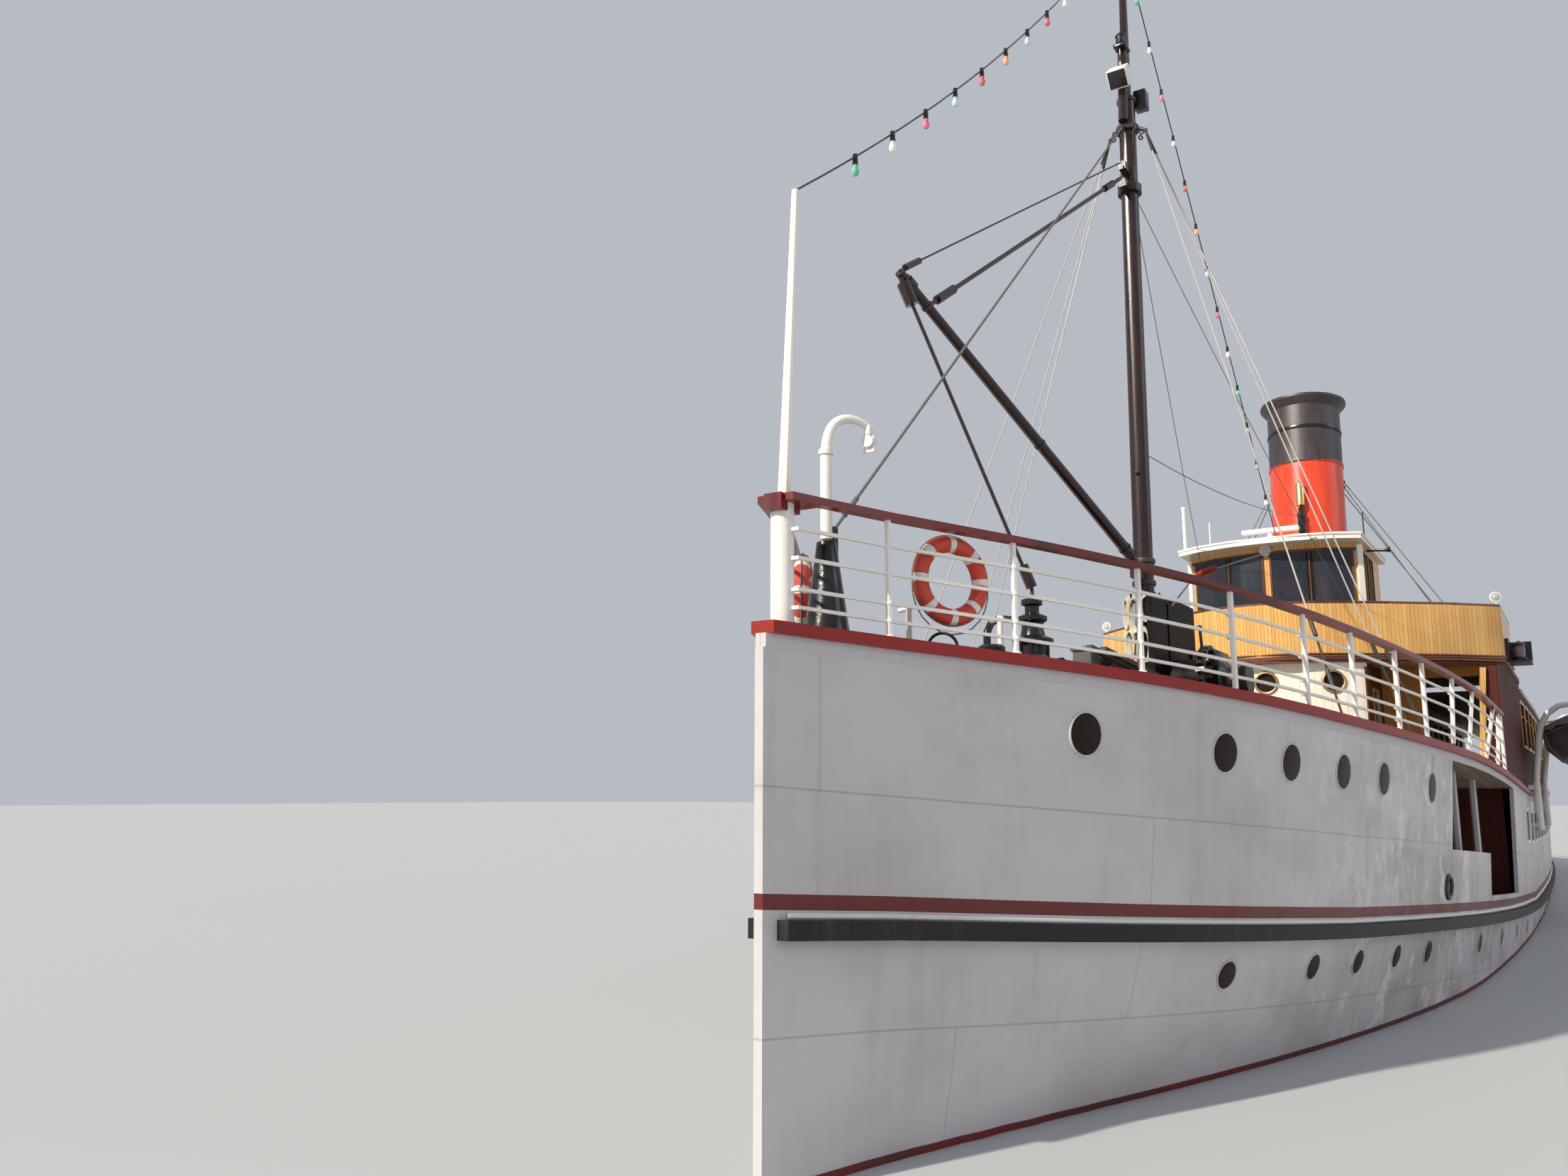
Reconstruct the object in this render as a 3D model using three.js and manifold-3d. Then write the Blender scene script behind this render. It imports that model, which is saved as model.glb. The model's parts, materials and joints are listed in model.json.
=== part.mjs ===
// Twin-screw lake steamer, modelled at half its real size.
// Every length below is in metres on the real ship; SCALE turns them into the model's millimetres.
// "aft" is the distance from the stem, "port" the distance from the centreline, "up" the height over
// the waterline. In the model +X points to the bow, +Y to port and +Z up, with the origin on the
// waterline amidships.
import * as THREE from 'three';
import { mergeVertices } from 'three/addons/utils/BufferGeometryUtils.js';
import Module from 'manifold-3d';

const wasm = await Module();
wasm.setup();

const SCALE = 500;
const LENGTH = 51.2;
const HALF_LENGTH = LENGTH / 2;
const GAP = 0.0007;
const CLEAR = 0.014;
const KEEL_HALF = 0.035;
const DECK_THICK = 0.1;
const CAP_THICK = 0.09;
const FORECASTLE_END = 10.65;
const GATE_START = 13.4;
const BAY_END = 17.2;
const SIDE_END = 44;
const ROOF_UP = 4.9;
const ROOF_THICK = 0.1;
const BRIDGE_END = 23;
const AWNING_UP = 4.72;
const AWNING_THICK = 0.08;
const ROOF_END = 46;
const DECK_END = 51.15;
const HOUSE_HALF = 1.62;
const SCREEN_START = 16.4;
const SCREEN_END = 38;

// Hull form: aft, half-breadth at promenade deck, at main deck and at the waterline, fullness of the
// bilge, height of promenade deck, of main deck and of the keel's underside.
const HULL_LINES = [
  [0.00, 0.035, 0.035, 0.035, 1.7, 3.72, 1.93, -1.74],
  [1.06, 0.47, 0.42, 0.34, 1.8, 3.675, 1.86, -1.80],
  [2.12, 1.04, 0.92, 0.70, 2.0, 3.615, 1.78, -1.85],
  [3.37, 1.66, 1.50, 1.12, 2.2, 3.535, 1.69, -1.90],
  [5.00, 2.32, 2.12, 1.64, 2.5, 3.415, 1.58, -1.95],
  [7.00, 2.80, 2.62, 2.20, 2.9, 3.29, 1.45, -2.00],
  [9.40, 3.17, 3.01, 2.72, 3.4, 3.18, 1.32, -2.05],
  [12.2, 3.46, 3.34, 3.16, 4.2, 3.06, 1.17, -2.10],
  [16.0, 3.62, 3.54, 3.42, 5.0, 2.87, 0.97, -2.10],
  [22.0, 3.66, 3.62, 3.58, 6.0, 2.59, 0.70, -2.10],
  [30.0, 3.66, 3.62, 3.58, 6.0, 2.50, 0.62, -2.10],
  [36.0, 3.60, 3.55, 3.42, 4.5, 2.56, 0.68, -2.10],
  [39.0, 3.52, 3.44, 3.20, 3.2, 2.63, 0.75, -1.92],
  [42.0, 3.36, 3.24, 2.86, 2.5, 2.72, 0.84, -1.40],
  [44.5, 3.10, 2.96, 2.50, 2.2, 2.81, 0.93, -0.78],
  [46.5, 2.76, 2.60, 2.20, 2.1, 2.89, 1.01, -0.24],
  [48.3, 2.27, 2.10, 1.80, 2.1, 2.97, 1.09, 0.06],
  [49.6, 1.70, 1.54, 1.30, 2.1, 3.03, 1.15, 0.30],
  [50.5, 1.10, 0.96, 0.80, 2.1, 3.07, 1.19, 0.48],
  [51.0, 0.60, 0.50, 0.40, 2.1, 3.09, 1.21, 0.62],
  [51.2, 0.26, 0.20, 0.16, 2.1, 3.10, 1.22, 0.70],
];
const STATIONS = [
  0, 0.5, 1.06, 1.6, 2.12, 2.7, 3.37, 4.1, 5, 6, 7, 8.2, 9.4, 10.65, 12.2, 13.5, 15.5, 18.2, 22, 26, 30,
  33, 36, 38, 40, 42, 44, 45.4, 46.6, 47.7, 48.6, 49.4, 50.1, 50.6, 51, 51.2,
];
const BILGE_STEPS = 8;

// Foremast: raked aft, so that its centreline moves with height.
const MAST = { aft: 9.0, foot: 3.2, thickTop: 12.5, top: 15.44, radius: 0.135, rake: 2.5 };
const MAST_BOOM_OFFSET = 0.38;
const BOOM = { root: 5.64, reach: 4.72, climb: 2.54, slewRest: 12.2, liftUp: 11.13, radius: 0.075 };
const FUNNEL = { aft: 21.9, top: 11.35, foot: 5.62, radius: 0.76, lip: 0.9, wall: 0.05, rake: 5 };
const PROPELLER = { aft: 45.35, port: 1.15, up: -1.22, radius: 0.74, hub: 0.15, blades: 4 };
const RUDDER = { aft: 47.25, low: -1.95, high: -0.42, fore: 46.85, trail: 48.35 };

const FINISHES = {
  whitePaint: new THREE.MeshStandardMaterial({ color: 0xe9e8e4, roughness: 0.45, metalness: 0.0 }),
  blackPaint: new THREE.MeshStandardMaterial({ color: 0x17181a, roughness: 0.35, metalness: 0.0 }),
  redBrown: new THREE.MeshStandardMaterial({ color: 0x7c2c22, roughness: 0.4, metalness: 0.0 }),
  darkPanel: new THREE.MeshStandardMaterial({ color: 0x4a231a, roughness: 0.4, metalness: 0.0 }),
  varnish: new THREE.MeshStandardMaterial({ color: 0xc98a3c, roughness: 0.3, metalness: 0.0 }),
  deckWood: new THREE.MeshStandardMaterial({ color: 0xb39a78, roughness: 0.7, metalness: 0.0 }),
  funnelRed: new THREE.MeshStandardMaterial({ color: 0xd23a1f, roughness: 0.35, metalness: 0.0 }),
  brass: new THREE.MeshStandardMaterial({ color: 0xb98a3e, roughness: 0.3, metalness: 1.0 }),
  bronze: new THREE.MeshStandardMaterial({ color: 0x9b7440, roughness: 0.35, metalness: 1.0 }),
  steelGrey: new THREE.MeshStandardMaterial({ color: 0x6f7478, roughness: 0.5, metalness: 0.6 }),
  boatGrey: new THREE.MeshStandardMaterial({ color: 0x4b4a4d, roughness: 0.6, metalness: 0.0 }),
  buoyOrange: new THREE.MeshStandardMaterial({ color: 0xc8402a, roughness: 0.5, metalness: 0.0 }),
};

const at = (aft, port, up) => new THREE.Vector3(HALF_LENGTH - aft, port, up);
const radians = THREE.MathUtils.degToRad;

// Closed bodies, joins and cuts.

function signedVolume(vertices, triangles) {
  const corner = (index) => new THREE.Vector3().fromArray(vertices, index * 3);
  let six = 0;
  for (let i = 0; i < triangles.length; i += 3) {
    const [a, b, c] = [corner(triangles[i]), corner(triangles[i + 1]), corner(triangles[i + 2])];
    six += a.dot(b.cross(c));
  }
  return six / 6;
}

function solidOf(geometry) {
  const bare = geometry.clone();
  bare.deleteAttribute('normal');
  bare.deleteAttribute('uv');
  const merged = mergeVertices(bare, 1e-5);
  const vertices = Float32Array.from(merged.attributes.position.array);
  const kept = [];
  const index = merged.index.array;
  for (let i = 0; i < index.length; i += 3) {
    const [a, b, c] = [index[i], index[i + 1], index[i + 2]];
    if (a !== b && b !== c && c !== a) kept.push(a, b, c);
  }
  if (signedVolume(vertices, kept) < 0) kept.reverse();
  const triangles = Uint32Array.from(kept);
  return new wasm.Manifold(new wasm.Mesh({ numProp: 3, vertProperties: vertices, triVerts: triangles }));
}

function geometryOf(solid) {
  const mesh = solid.getMesh();
  const geometry = new THREE.BufferGeometry();
  const vertices = Float32Array.from(mesh.vertProperties);
  geometry.setAttribute('position', new THREE.BufferAttribute(vertices, 3));
  geometry.setIndex(Array.from(mesh.triVerts));
  return geometry;
}

const joined = (solids) => solids.reduce((whole, next) => whole.add(next));
const cut = (solid, cutters) => cutters.reduce((left, next) => left.subtract(next), solid);
const moved = (solid, offset) => solidOf(geometryOf(solid).translate(offset.x, offset.y, offset.z));
const mirrored = (solid) => solidOf(geometryOf(solid).scale(1, -1, 1));

function turned(solid, axis, degrees, pivot) {
  const geometry = geometryOf(solid).translate(-pivot.x, -pivot.y, -pivot.z);
  geometry.applyMatrix4(new THREE.Matrix4().makeRotationAxis(axis, radians(degrees)));
  return solidOf(geometry.translate(pivot.x, pivot.y, pivot.z));
}

// Simple shapes placed by ship coordinates.

function block(aftRange, portRange, upRange) {
  const geometry = new THREE.BoxGeometry(
    aftRange[1] - aftRange[0], portRange[1] - portRange[0], upRange[1] - upRange[0]);
  const middle = (range) => (range[0] + range[1]) / 2;
  const centre = at(middle(aftRange), middle(portRange), middle(upRange));
  return solidOf(geometry.translate(centre.x, centre.y, centre.z));
}

function rod(from, to, radius, sides = 8, endRadius = radius) {
  const along = to.clone().sub(from);
  const geometry = new THREE.CylinderGeometry(endRadius, radius, along.length(), sides);
  const turn = new THREE.Quaternion().setFromUnitVectors(new THREE.Vector3(0, 1, 0), along.clone().normalize());
  geometry.applyQuaternion(turn);
  const middle = from.clone().add(to).multiplyScalar(0.5);
  return solidOf(geometry.translate(middle.x, middle.y, middle.z));
}

// A turned body: profile rows are radius and height over the base point.
function spun(profile, base, sides = 16, tilt = 0) {
  const geometry = new THREE.LatheGeometry(profile.map(([r, up]) => new THREE.Vector2(r, up)), sides);
  geometry.rotateX(Math.PI / 2);
  geometry.rotateY(radians(-tilt));
  return solidOf(geometry.translate(base.x, base.y, base.z));
}

function bentTube(points, radius, sides = 8, steps = 12) {
  const ring = Array.from({ length: sides }, (_, i) => {
    const angle = (i / sides) * 2 * Math.PI;
    return new THREE.Vector2(radius * Math.cos(angle), radius * Math.sin(angle));
  });
  const path = new THREE.CatmullRomCurve3(points);
  return solidOf(new THREE.ExtrudeGeometry(new THREE.Shape(ring), { steps, extrudePath: path }));
}

// An upright wall or slab from a plan outline of [aft, port] points.
function upright(outline, low, high) {
  const corners = outline.map(([aft, port]) => new THREE.Vector2(HALF_LENGTH - aft, port));
  const geometry = new THREE.ExtrudeGeometry(new THREE.Shape(corners), { depth: high - low, bevelEnabled: false });
  return solidOf(geometry.translate(0, 0, low));
}

// A body skinned over rings of equal point counts, closed by a fan at each end.
function skinned(rings) {
  const count = rings[0].length;
  const points = rings.flat();
  const middleOf = (ring) => ring.reduce((sum, p) => sum.add(p), new THREE.Vector3()).divideScalar(count);
  points.push(middleOf(rings[0]), middleOf(rings.at(-1)));
  const index = [];
  for (let r = 0; r + 1 < rings.length; r += 1) {
    for (let i = 0; i < count; i += 1) {
      const next = (i + 1) % count;
      const [a, b, c, d] = [r * count + i, r * count + next, (r + 1) * count + next, (r + 1) * count + i];
      index.push(a, b, c, a, c, d);
    }
  }
  const last = (rings.length - 1) * count;
  for (let i = 0; i < count; i += 1) {
    const next = (i + 1) % count;
    index.push(points.length - 2, next, i, points.length - 1, last + i, last + next);
  }
  const geometry = new THREE.BufferGeometry().setFromPoints(points);
  geometry.setIndex(index);
  return solidOf(geometry);
}

// Hull form at any place along the ship.

const hullCurve = new THREE.CubicInterpolant(
  HULL_LINES.map((row) => row[0]), HULL_LINES.flatMap((row) => row.slice(1)), 7);

function form(aft) {
  const [prom, main, water, fullness, promUp, mainUp, keelUp] =
    hullCurve.evaluate(THREE.MathUtils.clamp(aft, 0, LENGTH));
  return { prom, main, water, fullness, promUp, mainUp, keelUp };
}

function sideAt(aft, up) {
  const { prom, main, water, promUp, mainUp } = form(aft);
  if (up >= mainUp) return main + (prom - main) * (up - mainUp) / (promUp - mainUp);
  return Math.max(KEEL_HALF, water + (main - water) * (up / mainUp));
}

const stationsBetween = (from, to) => [from, ...STATIONS.filter((s) => s > from + 0.05 && s < to - 0.05), to];

function hullRing(aft, placeAft, spread) {
  const { prom, main, promUp, mainUp, keelUp, fullness } = form(aft);
  const half = [[prom, promUp - DECK_THICK - GAP]];
  for (let k = 0; k <= BILGE_STEPS; k += 1) {
    const angle = (k / BILGE_STEPS) * Math.PI / 2;
    const depth = Math.sin(angle) ** (2 / fullness);
    const width = k === BILGE_STEPS ? 0 : Math.cos(angle) ** (2 / fullness);
    const up = mainUp - depth * (mainUp - keelUp);
    half.push([k === 0 ? main : Math.max(KEEL_HALF, sideAt(aft, up) * width), up]);
  }
  const port = half.map(([y, up]) => at(placeAft, y + spread, up));
  const starboard = half.map(([y, up]) => at(placeAft, -y - spread, up)).reverse();
  return [...port, ...starboard];
}

function hullBody(spread) {
  const last = STATIONS.length - 1;
  return skinned(STATIONS.map((aft, i) => {
    const shift = i === 0 ? -spread : i === last ? spread : 0;
    return hullRing(aft, aft + shift, spread);
  }));
}

// A flat-sided slab that follows the sheer: its half-breadth and its two faces are functions of aft.
function sheerSlab(from, to, half, low, high) {
  const rings = stationsBetween(from, to).filter((aft) => half(aft) > 0.02).map((aft) => {
    const [y, z0, z1] = [half(aft), low(aft), high(aft)];
    return [at(aft, y, z0), at(aft, y, z1), at(aft, -y, z1), at(aft, -y, z0)];
  });
  return skinned(rings);
}

// A band along both deck edges: the slab inside the outer line less the slab inside the inner line.
function edgeBand(from, to, lines, innerFrom, innerTo) {
  const { outer, inner, low, high } = lines;
  const deep = (aft) => low(aft) - 0.3;
  const tall = (aft) => high(aft) + 0.3;
  const whole = sheerSlab(from, to, (aft) => form(aft).prom - outer, low, high);
  return whole.subtract(sheerSlab(innerFrom, innerTo, (aft) => form(aft).prom - inner, deep, tall));
}

// A wall that stands on one deck and follows the ship's side.
function sideWall(from, to, low, high, inset, thickness) {
  return skinned(stationsBetween(from, to).map((aft) => {
    const [z0, z1] = [low(aft), high(aft)];
    const [y0, y1] = [sideAt(aft, z0) - inset, sideAt(aft, Math.min(z1, form(aft).promUp)) - inset];
    return [at(aft, y0, z0), at(aft, y1, z1), at(aft, y1 - thickness, z1), at(aft, y0 - thickness, z0)];
  }));
}

const promTop = (aft) => form(aft).promUp + GAP;
const mainTop = (aft) => form(aft).mainUp + GAP;
const wide = () => 8;
const belowPromenade = sheerSlab(-0.5, LENGTH + 0.5, wide, () => -3, promTop);
const belowMain = sheerSlab(-0.5, LENGTH + 0.5, wide, () => -3, mainTop);
const onPromenade = (solid) => solid.subtract(belowPromenade);
const onMainDeck = (solid) => solid.subtract(belowMain);
const underPromenade = (aft) => form(aft).promUp - DECK_THICK - GAP;
const abovePromenade = sheerSlab(-0.5, LENGTH + 0.5, wide, underPromenade, () => 9);
const betweenDecks = (solid) => onMainDeck(solid).subtract(abovePromenade);

const steamer = new THREE.Group();
steamer.name = 'twin_screw_lake_steamer';

function addPiece(name, solid, finish) {
  const geometry = geometryOf(solid).scale(SCALE, SCALE, SCALE);
  const mesh = new THREE.Mesh(geometry, FINISHES[finish]);
  mesh.name = name;
  steamer.add(mesh);
}

const SIDES = [['port', 1], ['starboard', -1]];
const onSide = (solid, sign) => (sign > 0 ? solid : mirrored(solid));

// Hull: one decked body up to the main deck, with the forecastle plated up to the promenade deck.

function hull() {
  const aboveMain = sheerSlab(FORECASTLE_END, LENGTH + 0.5, wide, (aft) => form(aft).mainUp, () => 6);
  const skeg = upright([[36, 0.08], [46.3, 0.08], [46.3, -0.08], [36, -0.08]], -2.1, -0.4);
  const sole = block([46.2, 47.5], [-0.06, 0.06], [-2.1, -2.0]);
  const stockBore = rod(at(RUDDER.aft, 0, -0.6), at(RUDDER.aft, 0, 0.5), 0.1 + CLEAR, 12);
  const machineryWell = block([20.3, 29.2], [-1.9, 1.9], [-1.5, 2]);
  const body = hullBody(0).subtract(aboveMain).add(skeg).add(sole);
  return cut(body, [stockBore, machineryWell]);
}

function rubbingStrake() {
  const low = (aft) => form(aft).mainUp - 0.295;
  const high = (aft) => form(aft).mainUp - 0.16;
  const half = (aft) => sideAt(aft, form(aft).mainUp - 0.2) + 0.09;
  return sheerSlab(0.12, LENGTH + 0.09, half, low, high).subtract(hullBody(GAP));
}

// Promenade deck: one slab from stem to stern, with the pillars that carry it over the open bays.
function promenadeDeck() {
  const slab = sheerSlab(0.02, DECK_END, (aft) => form(aft).prom, (aft) => form(aft).promUp - DECK_THICK,
    (aft) => form(aft).promUp);
  const pillars = [12.96, 14.9, 45.2, 46.8, 48.4, 49.7].flatMap((aft) => SIDES.map(([, sign]) => {
    const port = sign * (form(aft).main - 0.3);
    return rod(at(aft, port, form(aft).mainUp - 0.1), at(aft, port, form(aft).promUp - 0.05), 0.05, 6);
  }));
  return joined([slab, ...pillars.map(onMainDeck)]);
}

function deckCap() {
  const lines = { outer: -0.045, inner: 0.16, low: promTop, high: (aft) => promTop(aft) + CAP_THICK };
  return edgeBand(0.04, LENGTH, lines, 0.4, LENGTH - 0.2);
}

// Rails on the foredeck: white stanchions and rods, with a teak handrail over them. Heights are over the
// deck; the rods' heights are shares of the rail's height over the deck edge cap.
const RAIL_HEIGHT = 1.045;
const RAIL_INSET = 0.01;
const ROD_SHARES = [0.13, 0.27, 0.51, 0.735];
const HANDRAIL_THICK = 0.055;
const FORE_RAIL_END = 16.1;

// Stanchions: aft of the foot, aft of the top.
const FORE_STANCHIONS = [
  [1.06, 1.06], [2.12, 2.12], [3.37, 3.37], [4.53, 4.53], [5.78, 5.78], [6.94, 6.94], [8.36, 8.36], [9.5, 9.5],
  [10.85, 11.1], [11.89, 12.6], [13.42, 14.9], [14.88, 15.6], [15.95, 15.95],
];
const STEM_POST = { aft: 0.295, radius: 0.087 };
const capTop = (aft) => promTop(aft) + CAP_THICK + GAP;
const belowCap = sheerSlab(-0.5, LENGTH + 0.5, wide, () => -3, capTop);
const rodHeight = (share) => CAP_THICK + share * (RAIL_HEIGHT - CAP_THICK);

function railStanchion([footAft, topAft], sign, height, radius) {
  const port = (aft) => sign * (form(aft).prom - RAIL_INSET);
  const lift = footAft === topAft ? 0.012 : 0.034;
  return rod(at(footAft, port(footAft), capTop(footAft) + lift),
    at(topAft, port(topAft), form(topAft).promUp + height), radius, 6);
}

const rodLines = (height, half) => ({
  outer: RAIL_INSET - half, inner: RAIL_INSET + half,
  low: (aft) => form(aft).promUp + height - half, high: (aft) => form(aft).promUp + height + half,
});

const handrailLines = (thick) => ({
  outer: RAIL_INSET - 0.05, inner: RAIL_INSET + 0.05,
  low: (aft) => form(aft).promUp + RAIL_HEIGHT - thick, high: (aft) => form(aft).promUp + RAIL_HEIGHT,
});

function foreRails() {
  const top = RAIL_HEIGHT - 0.04;
  const rods = ROD_SHARES.map((share) => (
    edgeBand(0.28, FORE_RAIL_END, rodLines(rodHeight(share), 0.013), 0.33, FORE_RAIL_END + 0.5)));
  const posts = FORE_STANCHIONS.flatMap((ends) => SIDES.map(([, sign]) => railStanchion(ends, sign, top, 0.028)));
  const { aft, radius } = STEM_POST;
  const stemPost = rod(at(aft, 0, capTop(aft) + 0.01), at(aft, 0, form(aft).promUp + top), radius, 12);
  const bend = 0.5;
  const ahead = block([0, bend], [-0.4, -radius / 2], [3, 5]);
  const links = ROD_SHARES.map((share) => {
    const up = (s) => form(s).promUp + rodHeight(share);
    return rod(at(aft, 0, up(aft)), at(bend + 0.02, RAIL_INSET - form(bend).prom, up(bend)), 0.015, 6);
  });
  const handrail = sheerSlab(0, FORE_RAIL_END + 0.2, wide, handrailLines(HANDRAIL_THICK + GAP).low, () => 8);
  const port = joined(rods).subtract(ahead);
  return joined([port, stemPost, ...links, ...posts]).subtract(handrail).subtract(stemPlate(GAP));
}

// The wooden plate that closes the handrail over the stem post.
function stemPlate(spread) {
  const top = form(0).promUp + RAIL_HEIGHT;
  return block([0.16, 0.42 + spread], [-0.075 - spread, 0.075 + spread], [top - 0.13 - spread, top]);
}

function foreHandrail() {
  const band = edgeBand(0.2, FORE_RAIL_END, handrailLines(HANDRAIL_THICK), 0.5, FORE_RAIL_END + 0.5);
  const over = sheerSlab(-0.1, 1, wide, (aft) => form(aft).promUp + RAIL_HEIGHT, () => 8);
  return band.add(stemPlate(0).subtract(over));
}

// Rails round the after end of the promenade deck.
const AFT_RAIL_START = SCREEN_END + 0.1;
const AFT_STANCHIONS = [38.2, 40, 41.8, 43.6, 45.4, 47, 48.4, 49.5, 50.3];

function aftRails() {
  const rods = ROD_SHARES.slice(1).map((share) => (
    edgeBand(AFT_RAIL_START, LENGTH - 0.12, rodLines(rodHeight(share), 0.015), AFT_RAIL_START - 0.5, LENGTH - 0.16)));
  const posts = AFT_STANCHIONS.flatMap((aft) => SIDES.map(([, sign]) => (
    railStanchion([aft, aft], sign, RAIL_HEIGHT - 0.06, 0.028))));
  const handrail = edgeBand(AFT_RAIL_START, LENGTH - 0.06, handrailLines(0.07), AFT_RAIL_START - 0.5, LENGTH - 0.22);
  return joined([...rods, ...posts, handrail]);
}

// Main deck: low bulwark ahead of the boarding gate, side walls with windows, cross bulkheads.
const GATE_BULWARK_HIGH = 0.72;
const BULWARK_HIGH = 0.95;
const SIDE_WINDOW = { width: 0.9, low: 0.98, high: 1.55, first: 20.5, pitch: 1.45, count: 16 };

function mainSideWall() {
  const foot = (aft) => mainTop(aft) - 0.05;
  const head = (aft) => underPromenade(aft) + 0.05;
  const bulwark = sideWall(FORECASTLE_END + GAP, GATE_START, foot, (aft) => foot(aft) + GATE_BULWARK_HIGH, 0, 0.06);
  const sill = sideWall(GATE_START - 0.05, BAY_END + 0.05, foot, (aft) => foot(aft) + 0.13, 0, 0.06);
  const wall = sideWall(BAY_END, SIDE_END, foot, head, 0, 0.06);
  const windows = Array.from({ length: SIDE_WINDOW.count }, (_, i) => {
    const aft = SIDE_WINDOW.first + i * SIDE_WINDOW.pitch;
    const deck = form(aft).mainUp;
    return block([aft, aft + SIDE_WINDOW.width], [2.5, 4.2], [deck + SIDE_WINDOW.low, deck + SIDE_WINDOW.high]);
  });
  return betweenDecks(cut(joined([bulwark, sill, wall]), windows));
}

function crossBulkhead(aft, thickness, doors) {
  const slab = sheerSlab(aft, aft + thickness, (s) => form(s).main - 0.11, () => 0, () => 4);
  const openings = doors.map(({ port, width, height }) => (
    block([aft - 0.2, aft + thickness + 0.2], [port - width / 2, port + width / 2], [0, mainTop(aft) + height])));
  return betweenDecks(cut(slab, openings));
}

const MAIN_DOOR = { port: 2.2, width: 0.84, height: 1.68 };

// A door leaf that fills an opening but for the clearance round it.
const LEAF = 0.05;
const inside = ([low, high]) => [low + CLEAR, high - CLEAR];

function sternBulwark() {
  const spread = (aft) => form(aft).main - 0.01;
  const high = (aft) => mainTop(aft) + BULWARK_HIGH;
  const outer = sheerSlab(SIDE_END + 0.02, LENGTH - 0.02, spread, () => 1, high);
  const inner = sheerSlab(SIDE_END - 0.5, LENGTH - 0.12, (aft) => spread(aft) - 0.06, () => 0, () => 4);
  return onMainDeck(outer.subtract(inner));
}

// Machinery: one plain block for each heavy mass, standing in the well in the hull.
function boiler() {
  return rod(at(20.6, 0, 0.15), at(23.6, 0, 0.15), 1.45, 20).add(block([20.9, 23.3], [-1.0, 1.0], [-1.49, -0.8]));
}

function engines() {
  const bed = block([24.4, 28.9], [-1.7, 1.7], [-1.49, -1.1]);
  return joined([bed, ...SIDES.map(([, sign]) => (
    block([24.8, 28.4], [sign > 0 ? 0.5 : -1.6, sign > 0 ? 1.6 : -0.5], [-1.2, 1.9])))]);
}

// House under the bridge: white, with a rounded front.
const HOUSE_DOOR = { aft: [20.4, 21.2], up: [2.76, 4.6] };
const HOUSE_FRONT = [[16.55, HOUSE_HALF], [16.3, 1.3], [16.12, 0.9], [15.98, 0.45], [15.95, 0]];

function roundedPlan(front, end, shrink = 0) {
  const port = front.map(([aft, y]) => [aft + shrink, Math.max(y - shrink, 0)]);
  const starboard = port.slice(0, -1).reverse().map(([aft, y]) => [aft, -y]);
  const half = port[0][1];
  return [[end - shrink, half], ...port, ...starboard, [end - shrink, -half]];
}

function bridgeHouse() {
  const top = ROOF_UP - GAP;
  const end = BRIDGE_END - 0.1;
  const walls = upright(roundedPlan(HOUSE_FRONT, end), 2, top)
    .subtract(upright(roundedPlan(HOUSE_FRONT, end, 0.07), 1, top + 1));
  const ports = [0.05, 1.12, -1.05].map((y) => rod(at(15, y, 4.565), at(17, y, 4.565), 0.17, 16));
  const windows = [17.1, 19.2, 21.8].flatMap((aft) => SIDES.map(([, sign]) => (
    block([aft, aft + 0.7], [sign > 0 ? 1.5 : -1.9, sign > 0 ? 1.9 : -1.5], [3.8, 4.45]))));
  const doors = block(HOUSE_DOOR.aft, [-2, 2], HOUSE_DOOR.up);
  return onPromenade(cut(walls, [...ports, ...windows, doors]));
}

const houseDoor = () => block(inside(HOUSE_DOOR.aft), [HOUSE_HALF - LEAF, HOUSE_HALF], inside(HOUSE_DOOR.up));

// Bridge deck and its varnished bulwark, bowed forward on the centreline with a wing to each side.
const BRIDGE_PLAN = [[18.25, 3.66], [17.42, 2.87], [16.75, 2.05], [16.2, 1.3], [15.92, 0.85], [15.75, 0.4], [15.72, 0]];

function bridgeDeck() {
  return upright(roundedPlan(BRIDGE_PLAN, BRIDGE_END), ROOF_UP, ROOF_UP + ROOF_THICK);
}

function bridgeBulwark() {
  const low = ROOF_UP + ROOF_THICK + GAP;
  const end = 21;
  const walls = upright(roundedPlan(BRIDGE_PLAN, end), low, 5.94)
    .subtract(upright(roundedPlan(BRIDGE_PLAN, end + 1, 0.06), low - 1, 7));
  return walls;
}

// Wheelhouse: varnished, with a bowed front of four panes.
const WHEELHOUSE_HALF = 1.55;
const WHEELHOUSE_FRONT = [[17.45, WHEELHOUSE_HALF], [17.1, 0.95], [16.9, 0.03], [16.9, 0]];
const WHEELHOUSE_END = 19.75;
const WHEELHOUSE_DOOR = { aft: [18.95, 19.6], up: [5.08, 7.0] };
const WINDOW_SILL = 6.1;
const WINDOW_HEAD = 7.08;

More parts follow.
